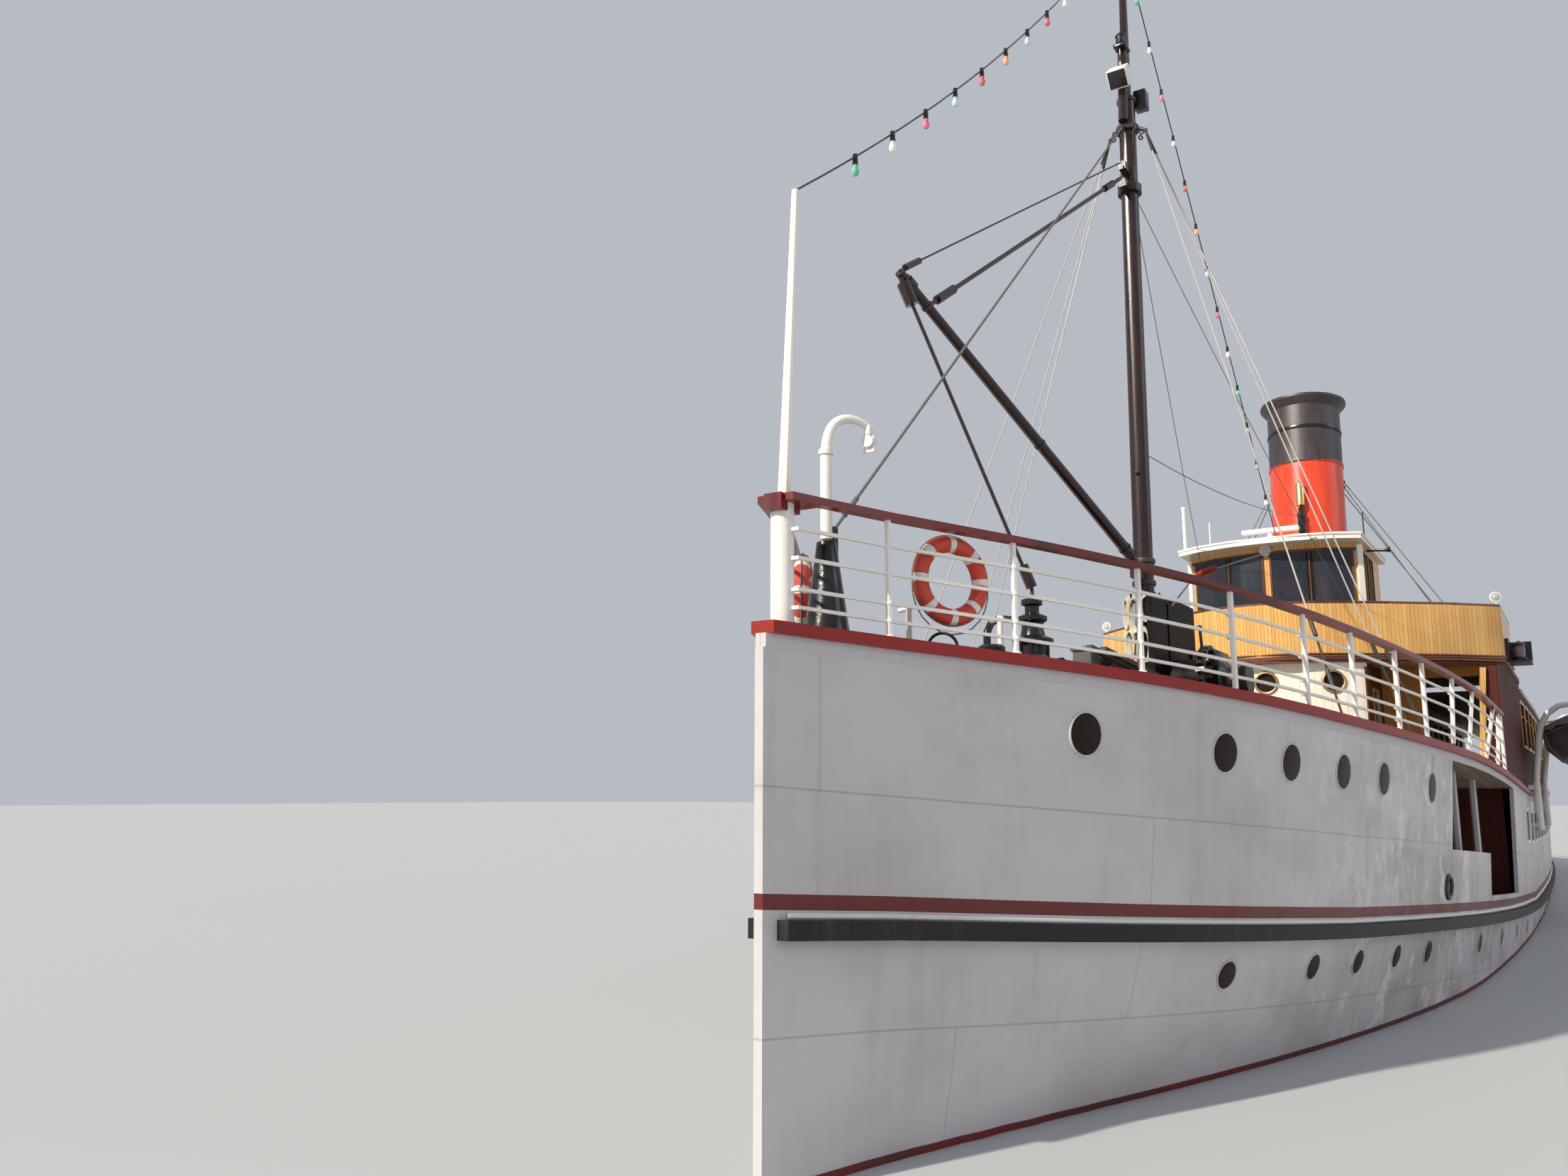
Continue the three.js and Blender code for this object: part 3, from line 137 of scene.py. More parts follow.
class Wire:
    """A socket of a finish's node tree that takes part in Python sums."""

    def __init__(self, recipe: "Recipe", socket: bpy.types.NodeSocket) -> None:
        """Keeps the recipe that owns the socket."""
        self.recipe = recipe
        self.socket = socket

    def other(self, name: str) -> "Wire":
        """Gives another output of the same node."""
        return Wire(self.recipe, self.socket.node.outputs[name])

    def sum(self, operation: str, *terms: "Wire | float") -> "Wire":
        """Adds a Math node for one operation on its terms."""
        return self.recipe.maths(operation, *terms)

    def __add__(self, term: "Wire | float") -> "Wire":
        """Adds."""
        return self.sum("ADD", self, term)

    __radd__ = __add__

    def __sub__(self, term: "Wire | float") -> "Wire":
        """Takes a term away."""
        return self.sum("SUBTRACT", self, term)

    def __rsub__(self, term: "Wire | float") -> "Wire":
        """Takes this away from a term."""
        return self.sum("SUBTRACT", term, self)

    def __mul__(self, term: "Wire | float") -> "Wire":
        """Multiplies."""
        return self.sum("MULTIPLY", self, term)

    __rmul__ = __mul__

    def __truediv__(self, term: "Wire | float") -> "Wire":
        """Divides."""
        return self.sum("DIVIDE", self, term)

    def __gt__(self, term: "Wire | float") -> "Wire":
        """Is 1 where this is greater."""
        return self.sum("GREATER_THAN", self, term)

    def __lt__(self, term: "Wire | float") -> "Wire":
        """Is 1 where this is less."""
        return self.sum("LESS_THAN", self, term)

    def __abs__(self) -> "Wire":
        """Drops the sign."""
        return self.sum("ABSOLUTE", self)


# The colour mixing node has unnamed twins of its sockets for every kind of value: these are for colours.
MIX_SHARE, MIX_FIRST, MIX_SECOND, MIX_RESULT = 0, 6, 7, 2


class Recipe:
    """One material's node tree, built from Python expressions."""

    def __init__(self, name: str) -> None:
        """Starts an empty material.

        Args:
            name: the material's name.
        """
        self.material = bpy.data.materials.new(name)
        self.material.use_nodes = True
        self.tree = self.material.node_tree
        self.tree.nodes.clear()

    def node(self, kind: str, settings: dict | None = None, inputs: dict | None = None,
             output: int | str = 0) -> Wire:
        """Adds a node.

        Args:
            kind: the node's type.
            settings: properties that are set first; ``stops`` fills a colour ramp.
            inputs: values or wires, by socket index or name.
            output: the output that is wanted.

        Returns:
            The wanted output.
        """
        made = self.tree.nodes.new(kind)
        for name, value in (settings or {}).items():
            if name == "stops":
                self.fill_ramp(made.color_ramp, value)
            else:
                setattr(made, name, value)
        for name, value in (inputs or {}).items():
            if isinstance(value, Wire):
                self.tree.links.new(value.socket, made.inputs[name])
            else:
                made.inputs[name].default_value = value
        return Wire(self, made.outputs[output])

    def maths(self, operation: str, *terms: "Wire | float") -> Wire:
        """Adds a Math node for one operation on its terms."""
        return self.node("ShaderNodeMath", {"operation": operation}, dict(enumerate(terms)))

    @staticmethod
    def fill_ramp(ramp: bpy.types.ColorRamp, stops: Sequence[tuple[float, Colour]]) -> None:
        """Sets a ramp's stops.

        Args:
            ramp: the ramp.
            stops: positions from 0 to 1 in rising order, with their colours.
        """
        while len(ramp.elements) < len(stops):
            ramp.elements.new(1.0)
        for element, (position, colour) in zip(ramp.elements, stops):
            element.position = position
            element.color = (*colour, 1.0)

    def spot(self, centre: Sequence[float] = (0, 0, 0), turn: Sequence[float] = (0, 0, 0),
             size: Sequence[float] = (1, 1, 1)) -> Wire:
        """Gives the surface's own place, in object metres, seen from a turned and stretched frame."""
        inputs = {"Vector": self.node("ShaderNodeTexCoord", output="Object"), "Location": centre,
                  "Rotation": turn, "Scale": size}
        return self.node("ShaderNodeMapping", {"vector_type": "TEXTURE"}, inputs)

    def facing(self) -> Wire:
        """Gives the surface's direction in object space."""
        return self.node("ShaderNodeTexCoord", output="Normal")

    def axes(self, vector: Wire) -> tuple[Wire, Wire, Wire]:
        """Splits a vector into its three numbers."""
        first = self.node("ShaderNodeSeparateXYZ", {}, {0: vector}, "X")
        return first, first.other("Y"), first.other("Z")

    def noise(self, vector: Wire, scale: float, detail: float = 3.0, rough: float = 0.55,
              warp: float = 0.0) -> Wire:
        """Gives soft random values from 0 to 1."""
        inputs = {"Vector": vector, "Scale": scale, "Detail": detail, "Roughness": rough, "Distortion": warp}
        return self.node("ShaderNodeTexNoise", {}, inputs)

    def drawn(self, size: Sequence[float], detail: float, rough: float = 0.55, warp: float = 0.0) -> Wire:
        """Gives soft random values that are drawn out along the axes."""
        return self.noise(self.spot(size=size), 1.0, detail, rough, warp)

    def chance(self, seed: Wire) -> Wire:
        """Gives one random value from 0 to 1 for each seed."""
        return self.node("ShaderNodeTexWhiteNoise", {"noise_dimensions": "1D"}, {"W": seed})

    def step(self, value: Wire, low: float, high: float) -> Wire:
        """Rises smoothly from 0 to 1 between two values."""
        inputs = {"Value": value, "From Min": low, "From Max": high}
        return self.node("ShaderNodeMapRange", {"interpolation_type": "SMOOTHSTEP"}, inputs)

    def ramp(self, value: Wire, stops: Sequence[tuple[float, Colour]]) -> Wire:
        """Gives a colour for a value from 0 to 1."""
        return self.node("ShaderNodeValToRGB", {"stops": stops}, {0: value})

    def mix(self, first: "Wire | Colour", second: "Wire | Colour", share: "Wire | float") -> Wire:
        """Mixes two colours.

        Args:
            first: the colour where the share is 0.
            second: the colour where it is 1.
            share: how much of the second there is.

        Returns:
            The mixed colour.
        """
        opaque = [c if isinstance(c, Wire) else (*c, 1.0) for c in (first, second)]
        inputs = {MIX_SHARE: share, MIX_FIRST: opaque[0], MIX_SECOND: opaque[1]}
        return self.node("ShaderNodeMix", {"data_type": "RGBA"}, inputs, MIX_RESULT)

    def height(self, value: Wire, depth: float) -> Wire:
        """Turns a value into a raised surface, where 1 is as deep as given in model metres."""
        return self.node("ShaderNodeBump", {}, {"Height": value, "Distance": depth, "Strength": 1.0})

    def surface(self, colour: "Wire | Colour", roughness: "Wire | float", metallic: "Wire | float" = 0.0,
                normal: Wire | None = None, **fixed: float) -> None:
        """Ends the recipe with the surface shader.

        Args:
            colour: the base colour.
            roughness: the roughness.
            metallic: share of metal.
            normal: the raised surface, if any.
            fixed: constants by socket name, with underscores for spaces.
        """
        base = colour if isinstance(colour, Wire) else (*colour, 1.0)
        inputs = {"Base Color": base, "Roughness": roughness, "Metallic": metallic}
        if normal is not None:
            inputs["Normal"] = normal
        for name, value in fixed.items():
            inputs[name.replace("_", " ")] = value
        shader = self.node("ShaderNodeBsdfPrincipled", {}, inputs)
        end = self.tree.nodes.new("ShaderNodeOutputMaterial")
        self.tree.links.new(shader.socket, end.inputs["Surface"])


@dataclass(frozen=True)
class Finish:
    """A finish with a name, whose material is made once."""

    name: str

    def material(self) -> bpy.types.Material:
        """Gives the material, which is mixed the first time.

        Returns:
            The material.
        """
        found = bpy.data.materials.get(self.name)
        if found is None:
            recipe = Recipe(self.name)
            self.mix_in(recipe)
            found = recipe.material
        return found

    def mix_in(self, recipe: Recipe) -> None:
        """Fills the recipe."""
        raise NotImplementedError


@dataclass(frozen=True)
class Enamel(Finish):
    """Brushed gloss paint with grime, rain runs and a little unevenness."""

    colour: Colour
    grime: Colour = (0.30, 0.25, 0.20)
    dirt: float = 0.25
    roughness: float = 0.3
    ripple: float = 0.0006
    coat: float = 0.0
    gloss: float = 0.5

    def mix_in(self, recipe: Recipe) -> None:
        """Fills the recipe.

        Args:
            recipe: the material that takes the nodes.
        """
        own = recipe.spot()
        broad = recipe.noise(own, 1.1, 4.0)
        fine = recipe.noise(own, 60.0, 2.0)
        runs = recipe.drawn((0.05, 0.05, 1.4), 3.0)
        grime = recipe.step(broad * 0.5 + runs * 0.4 + fine * 0.1, 0.5, 0.78) * self.dirt
        tone = recipe.mix(self.colour, self.grime, grime)
        rough = fine * 0.1 + grime * 0.4 + (self.roughness - 0.05)
        normal = recipe.height(fine * 0.35 + broad * 0.65, self.ripple * 4)
        recipe.surface(tone, rough, normal=normal, Coat_Weight=self.coat, Coat_Roughness=0.08,
                       Specular_IOR_Level=self.gloss)


@dataclass(frozen=True)
class ShellPaint(Finish):
    """The shell plating: white, with a red-brown line, dark red at the water, seams and marks of weather."""

    white: Colour = (0.56, 0.53, 0.54)
    line: Colour = (0.13, 0.010, 0.008)
    boot: Colour = (0.16, 0.012, 0.012)
    line_range: tuple[float, float] = (-0.095, 0.012)
    boot_top: float = 0.06
    seams: tuple[float, float] = (0.73, -0.93)
    seam_width: float = 0.006
    plate_length: float = 4.9
    plate_height: float = 1.66
    ramp_top: float = 4.0

    def mix_in(self, recipe: Recipe) -> None:
        """Fills the recipe.

        Args:
            recipe: the material that takes the nodes.
        """
        own = recipe.spot(size=(MODEL, MODEL, MODEL))
        ahead, out, up = recipe.axes(own)
        share = (HALF_LENGTH - ahead) / (2 * HALF_LENGTH)
        stops = [(aft / (2 * HALF_LENGTH), (main / self.ramp_top,) * 3) for aft, _, _, main in DECK_LINES]
        main_deck = recipe.axes(recipe.ramp(share, stops))[0] * self.ramp_top
        over = up - main_deck
        line = (over > self.line_range[0]) * (over < self.line_range[1])
        boot = up < self.boot_top
        seam = self.seam_mask(recipe, over, ahead)
        broad = recipe.noise(own, 0.55, 4.0, 0.6)
        fine = recipe.noise(own, 28.0, 3.0)
        runs = recipe.drawn((0.09, 0.09, 1.1), 4.0, 0.6)
        worn = recipe.step(ahead, 21.5, 16.0) * (1.0 - recipe.step(ahead, 12.0, 9.0) * 0.6)
        grime = recipe.step(runs * 0.55 + broad * 0.45 + worn * 0.05, 0.47, 0.75)
        chalk = recipe.step(recipe.drawn((0.2, 0.2, 0.34), 5.0, 0.7), 0.51, 0.63) * worn
        stain = recipe.step(recipe.drawn((0.45, 0.45, 0.3), 4.0, 0.6), 0.48, 0.62) * worn
        moss = recipe.step(recipe.drawn((0.1, 0.1, 0.7), 3.0, 0.6), 0.56, 0.68) * worn
        rust = recipe.step(runs, 0.64, 0.74) * recipe.step(fine, 0.45, 0.7)
        red = recipe.mix(self.boot, (0.09, 0.02, 0.016), recipe.step(broad, 0.4, 0.65))
        tone = self.white
        for colour, mask in (
                ((0.475, 0.445, 0.445), recipe.step(broad, 0.35, 0.7)), ((0.38, 0.33, 0.30), grime * 0.45),
                ((0.33, 0.29, 0.27), stain * 0.6), ((0.27, 0.27, 0.19), moss * 0.3),
                ((0.74, 0.72, 0.71), chalk * 0.8), ((0.26, 0.17, 0.10), rust * (worn * 0.3 + 0.15)),
                ((0.24, 0.21, 0.20), seam * 0.45), (self.line, line), (red, boot)):
            tone = recipe.mix(tone, colour, mask)
        plates = recipe.drawn((0.8, 0.8, 0.45), 2.0)
        normal = recipe.height(plates * 0.8 + fine * 0.03 - seam * 0.1, 0.02)
        recipe.surface(tone, fine * 0.12 + grime * 0.15 + boot * 0.25 + 0.3, normal=normal)

    def seam_mask(self, recipe: Recipe, over: Wire, ahead: Wire) -> Wire:
        """Marks the long seams and the upright butts between the plates.

        Args:
            recipe: the recipe that takes the nodes.
            over: height over the main deck.
            ahead: distance forward of amidships.

        Returns:
            1 on a seam.
        """
        upper, lower = (abs(over - level) < self.seam_width for level in self.seams)
        lane = recipe.maths("FLOOR", over / self.plate_height + 0.56)
        along = recipe.maths("FRACT", ahead / self.plate_length + lane * 0.37)
        butt = abs(along - 0.5) < self.seam_width / self.plate_length
        return recipe.maths("MINIMUM", upper + lower + butt * 0.6, 1.0)


class Run(Enum):
    """Which way boards run."""

    UPRIGHT = "upright"
    FORE_AND_AFT = "fore and aft"


@dataclass(frozen=True)
class Boards(Finish):
    """Boards side by side with grooves or caulked seams, each of its own tone, with long grain."""

    light: Colour
    dark: Colour
    groove: Colour
    width: float
    run: Run
    roughness: float = 0.3
    coat: float = 0.0
    gloss: float = 0.5
    spread: float = 0.5
    edge: Colour | None = None
    front: Colour | None = None
    gold: tuple[float, float] | None = None

    def mix_in(self, recipe: Recipe) -> None:
        """Fills the recipe.

        Args:
            recipe: the material that takes the nodes.
        """
        own = recipe.spot()
        x, y, z = recipe.axes(own)
        nx, ny, nz = recipe.axes(recipe.facing())
        if self.run is Run.UPRIGHT:
            turned = abs(nx) > abs(ny)
            across = y * turned + x * (1.0 - turned)
            grain = recipe.drawn((0.006, 0.006, 0.16), 4.0, 0.6, 0.4)
        else:
            across = y
            grain = recipe.drawn((0.16, 0.006, 0.006), 4.0, 0.6, 0.4)
        lane = across / self.width
        groove = recipe.step(abs(recipe.maths("FRACT", lane) - 0.5), 0.44, 0.49)
        shade = grain * (1.2 - self.spread) + recipe.chance(recipe.maths("FLOOR", lane)) * self.spread
        tone = recipe.mix(self.dark, self.light, recipe.step(shade, 0.3, 0.85))
        weather = recipe.step(recipe.noise(own, 1.7, 3.0), 0.45, 0.75)
        tone = recipe.mix(tone, self.dark, weather * 0.35)
        tone = recipe.mix(tone, self.groove, groove * 0.75)
        if self.gold is not None:
            tone = self.golden(recipe, tone, x, nx, grain)
        if self.front is not None:
            tone = recipe.mix(tone, self.front, nx > 0.3)
        if self.edge is not None:
            tone = recipe.mix(tone, self.edge, abs(nz) < 0.7)
        normal = recipe.height(1.0 - groove + grain * 0.15, 0.002)
        recipe.surface(tone, grain * 0.15 + self.roughness, normal=normal, Coat_Weight=self.coat,
                       Coat_Roughness=0.1, Specular_IOR_Level=self.gloss)

    def golden(self, recipe: Recipe, tone: Wire, x: Wire, nx: Wire, grain: Wire) -> Wire:
        """Turns the boards golden between two places along the ship, where they face ahead or aft.

        Args:
            recipe: the recipe that takes the nodes.
            tone: the colour elsewhere.
            x: place along the model.
            nx: how much the surface faces ahead.
            grain: the wood's grain.

        Returns:
            The colour with the golden stretch.
        """
        low, high = [(HALF_LENGTH - aft) * MODEL for aft in reversed(self.gold)]
        stretch = (x > low) * (x < high) * (abs(nx) > 0.5)
        gold = recipe.mix((0.42, 0.17, 0.035), (0.72, 0.38, 0.10), grain)
        return recipe.mix(tone, gold, stretch)


@dataclass(frozen=True)
class FunnelPaint(Finish):
    """Orange-red gloss with a black, heat-dulled top."""

    red: Colour = (0.62, 0.042, 0.016)
    black_from: float = 9.85
    joint: float = 8.0

    def mix_in(self, recipe: Recipe) -> None:
        """Fills the recipe.

        Args:
            recipe: the material that takes the nodes.
        """
        own = recipe.spot()
        up = recipe.axes(own)[2]
        black = up > self.black_from * MODEL
        runs = recipe.drawn((0.03, 0.03, 0.7), 4.0)
        fine = recipe.noise(own, 42.0, 3.0)
        soot = recipe.step(up / MODEL, 9.0, 11.6) * recipe.step(runs, 0.35, 0.7)
        warm = recipe.mix(self.red, (0.70, 0.075, 0.022), recipe.step(runs, 0.3, 0.75))
        dull = recipe.mix((0.030, 0.024, 0.026), (0.060, 0.044, 0.044),
                          recipe.step(runs + fine * 0.3, 0.4, 0.95))
        tone = recipe.mix(recipe.mix(warm, (0.16, 0.03, 0.015), soot * 0.4), dull, black)
        seam = abs(up - self.joint * MODEL) < 0.004
        tone = recipe.mix(tone, (0.12, 0.02, 0.01), seam * 0.7)
        normal = recipe.height(fine * 0.2 + runs * 0.4 - seam, 0.0025)
        recipe.surface(tone, black * 0.16 + fine * 0.14 + 0.2, normal=normal)


@dataclass(frozen=True)
class SparPaint(Finish):
    """Brown-black gloss on a spar."""

    def mix_in(self, recipe: Recipe) -> None:
        """Fills the recipe.

        Args:
            recipe: the material that takes the nodes.
        """
        own = recipe.spot()
        grain = recipe.drawn((0.012, 0.012, 0.35), 4.0, 0.6)
        fine = recipe.noise(own, 55.0, 2.0)
        tone = recipe.mix((0.012, 0.005, 0.005), (0.034, 0.012, 0.011), recipe.step(grain, 0.35, 0.7))
        normal = recipe.height(grain * 0.7 + fine * 0.3, 0.0012)
        recipe.surface(tone, fine * 0.1 + 0.2, normal=normal, Coat_Weight=0.4, Coat_Roughness=0.18,
                       Specular_IOR_Level=0.3)


@dataclass(frozen=True)
class Metal(Finish):
    """Bare or dipped metal with tarnish in patches."""

    colour: Colour
    tarnish: Colour
    roughness: float = 0.25
    patches: float = 0.5
    metallic: float = 1.0
    grain: float = 0.0008

    def mix_in(self, recipe: Recipe) -> None:
        """Fills the recipe.

        Args:
            recipe: the material that takes the nodes.
        """
        own = recipe.spot()
        blot = recipe.step(recipe.noise(own, 14.0, 5.0, 0.62), 0.42, 0.68) * self.patches
        fine = recipe.noise(own, 140.0, 2.0)
        tone = recipe.mix(self.colour, self.tarnish, blot)
        normal = recipe.height(fine * 0.5 + blot * 0.5, self.grain)
        recipe.surface(tone, blot * 0.3 + fine * 0.08 + self.roughness, self.metallic, normal)


@dataclass(frozen=True)
class Pane(Finish):
    """Window glass, faintly streaked."""

    tint: Colour
    alpha: float = 0.4

    def mix_in(self, recipe: Recipe) -> None:
        """Fills the recipe.

        Args:
            recipe: the material that takes the nodes.
        """
        streak = recipe.drawn((0.4, 0.4, 1.2), 3.0)
        smear = recipe.step(streak, 0.5, 0.8)
        tone = recipe.mix(self.tint, (0.30, 0.32, 0.34), smear * 0.25)
        recipe.surface(tone, smear * 0.12 + 0.03, Alpha=self.alpha, IOR=1.5)


@dataclass(frozen=True)
class Canvas(Finish):
    """Woven cloth, weathered."""

    colour: Colour
    worn: Colour
    thread: float = 0.004

    def mix_in(self, recipe: Recipe) -> None:
        """Fills the recipe."""
        tone, normal = self.cloth(recipe)
        recipe.surface(tone, 0.82, normal=normal, Sheen_Weight=0.25, Sheen_Roughness=0.5)

    def cloth(self, recipe: Recipe) -> tuple[Wire, Wire]:
        """Mixes the cloth's colour and weave.

        Args:
            recipe: the material that takes the nodes.

        Returns:
            The worn colour, and the normal of the weave.
        """
        own = recipe.spot()
        x, y, z = recipe.axes(own)
        turn = 2 * math.pi / self.thread
        weave = recipe.maths("SINE", (x + y) * turn) * recipe.maths("SINE", z * turn) * 0.5 + 0.5
        blot = recipe.step(recipe.noise(own, 6.0, 5.0, 0.6), 0.4, 0.72)
        tone = recipe.mix(self.colour, self.worn, blot * 0.5 + weave * 0.12)
        return tone, recipe.height(weave * 0.5 + blot * 0.5, 0.0012)


@dataclass(frozen=True)
class BuoyCanvas(Canvas):
    """Painted canvas with white bands round a ring."""

    centre: Spot = (0, 0, 0)
    turn: float = 0.0
    bands: int = 8
    band_share: float = 0.2

    def mix_in(self, recipe: Recipe) -> None:
        """Fills the recipe.

        Args:
            recipe: the material that takes the nodes.
        """
        tone, normal = self.cloth(recipe)
        x, _, z = recipe.axes(recipe.spot(centre=self.centre, turn=(0, 0, self.turn)))
        round_it = recipe.maths("ARCTAN2", z, x) * (self.bands / (2 * math.pi))
        band = abs(recipe.maths("FRACT", round_it + self.bands + 0.5) - 0.5) < self.band_share / 2
        tone = recipe.mix(tone, (0.72, 0.70, 0.66), band)
        recipe.surface(tone, 0.55, normal=normal)


@dataclass(frozen=True)
class LampGlass(Finish):
    """A coloured bulb."""

    colour: Colour

    def mix_in(self, recipe: Recipe) -> None:
        """Fills the recipe.

        Args:
            recipe: the material that takes the nodes.
        """
        own = recipe.spot()
        swirl = recipe.noise(own, 30.0, 2.0)
        tone = recipe.mix(self.colour, tuple(0.6 * c + 0.3 for c in self.colour), swirl)
        recipe.surface(tone, 0.08, Emission_Color=(*self.colour, 1.0), Emission_Strength=0.15)


@dataclass(frozen=True)
class FloorPaint(Finish):
    """The plain pale floor."""

    def mix_in(self, recipe: Recipe) -> None:
        """Fills the recipe."""
        recipe.surface((0.46, 0.47, 0.48), 0.7)


WHITE = Enamel("white_enamel", (0.80, 0.77, 0.72), dirt=0.3, roughness=0.3)
SHELL = ShellPaint("shell_paint")
BLACK = Enamel("black_enamel", (0.010, 0.009, 0.010), (0.06, 0.045, 0.04), 0.4, 0.22)
STRAKE = Enamel("strake_black", (0.012, 0.010, 0.012), (0.12, 0.10, 0.09), 0.6, 0.5, gloss=0.3)
MACHINERY = Enamel("machinery_black", (0.005, 0.004, 0.004), (0.03, 0.018, 0.012), 0.25, 0.5, 0.0012,
                   gloss=0.1)
CAP_RED = Enamel("cap_red", (0.28, 0.018, 0.014), (0.13, 0.02, 0.015), 0.5, 0.38, gloss=0.3)
TEAK = Boards("handrail_teak", (0.19, 0.018, 0.020), (0.11, 0.011, 0.012), (0.05, 0.01, 0.008), 0.6,
              Run.FORE_AND_AFT, 0.3, 0.25, 0.3)
VARNISH = Boards("varnished_boards", (0.76, 0.455, 0.155), (0.60, 0.31, 0.085), (0.24, 0.095, 0.022), 0.03,
                 Run.UPRIGHT, 0.28, 0.35, 0.3, spread=0.28)
PANEL = Boards("dark_panel_boards", (0.105, 0.022, 0.014), (0.055, 0.012, 0.009), (0.012, 0.005, 0.004), 0.06,
               Run.UPRIGHT, 0.55, 0.0, 0.15, gold=(18.2, 18.45))
HOUSE = Boards("house_sides", (0.13, 0.038, 0.020), (0.065, 0.018, 0.011), (0.02, 0.008, 0.006), 0.06,
               Run.UPRIGHT, 0.4, 0.1, 0.25, front=(0.80, 0.75, 0.66))
TRIM = Boards("dark_trim", (0.15, 0.045, 0.022), (0.08, 0.022, 0.012), (0.03, 0.01, 0.008), 0.5,
              Run.FORE_AND_AFT, 0.35, 0.3, 0.3)
DECK = Boards("scrubbed_deck", (0.40, 0.31, 0.21), (0.27, 0.20, 0.13), (0.02, 0.018, 0.016), 0.065,
              Run.FORE_AND_AFT, 0.6, edge=(0.53, 0.50, 0.51))
BRIDGE_PLANKS = replace(DECK, name="bridge_deck_planks", edge=(0.13, 0.022, 0.015))
CABIN = Boards("saloon_boards", (0.66, 0.61, 0.53), (0.54, 0.48, 0.40), (0.25, 0.2, 0.15), 0.07,
               Run.UPRIGHT, 0.35)
ROOF = Enamel("roof_paint", (0.42, 0.41, 0.39), (0.2, 0.17, 0.14), 0.6, 0.55)
FUNNEL = FunnelPaint("funnel_paint")
MAST = SparPaint("mast_paint")
SPAR = SparPaint("boom_paint")
BRASS = Metal("polished_brass", (0.90, 0.62, 0.24), (0.40, 0.22, 0.08), 0.2, 0.4)
BRONZE = Metal("cast_bronze", (0.60, 0.38, 0.18), (0.16, 0.20, 0.14), 0.3, 0.7)
IRON = Metal("machinery_iron", (0.055, 0.05, 0.05), (0.11, 0.06, 0.035), 0.42, 0.6, 0.4, 0.002)
WIRE_ROPE = Metal("wire_rope", (0.17, 0.165, 0.165), (0.12, 0.10, 0.09), 0.5, 0.4, 0.4)
BRIGHT_WIRE = Metal("bright_wire", (0.50, 0.48, 0.46), (0.32, 0.29, 0.27), 0.45, 0.4, 0.3)
SLATE = Enamel("slate_paint", (0.085, 0.085, 0.08), dirt=0.5, roughness=0.6, gloss=0.2)
GREY = Enamel("grey_paint", (0.16, 0.16, 0.165), dirt=0.5, roughness=0.5)
BOAT = Enamel("boat_paint", (0.105, 0.092, 0.092), (0.2, 0.17, 0.15), 0.6, 0.5)
BOOT = Enamel("boot_red", (0.14, 0.012, 0.010), (0.06, 0.04, 0.03), 0.7, 0.6)
WINDOW = Pane("window_glass", (0.025, 0.035, 0.05), 0.62)
# Opaque dark finish for port glass: its near-black is painted shade of the unlit inside behind the glass; the
# wheelhouse's dark strips use it too.
PAINTED_SHADE_GLASS = Enamel("port_glass", (0.020, 0.011, 0.009), (0.05, 0.03, 0.025), 0.5, 0.35, gloss=0.12)
LAMP_PANE = Pane("lamp_glass", (0.55, 0.56, 0.58), 0.8)
COVER = Canvas("boat_cover_canvas", (0.27, 0.25, 0.22), (0.16, 0.14, 0.12))
PALE_ROPE = Canvas("pale_rope", (0.66, 0.60, 0.50), (0.34, 0.28, 0.21), 0.003)
ROPE = Canvas("manila_rope", (0.42, 0.33, 0.21), (0.24, 0.18, 0.11), 0.003)


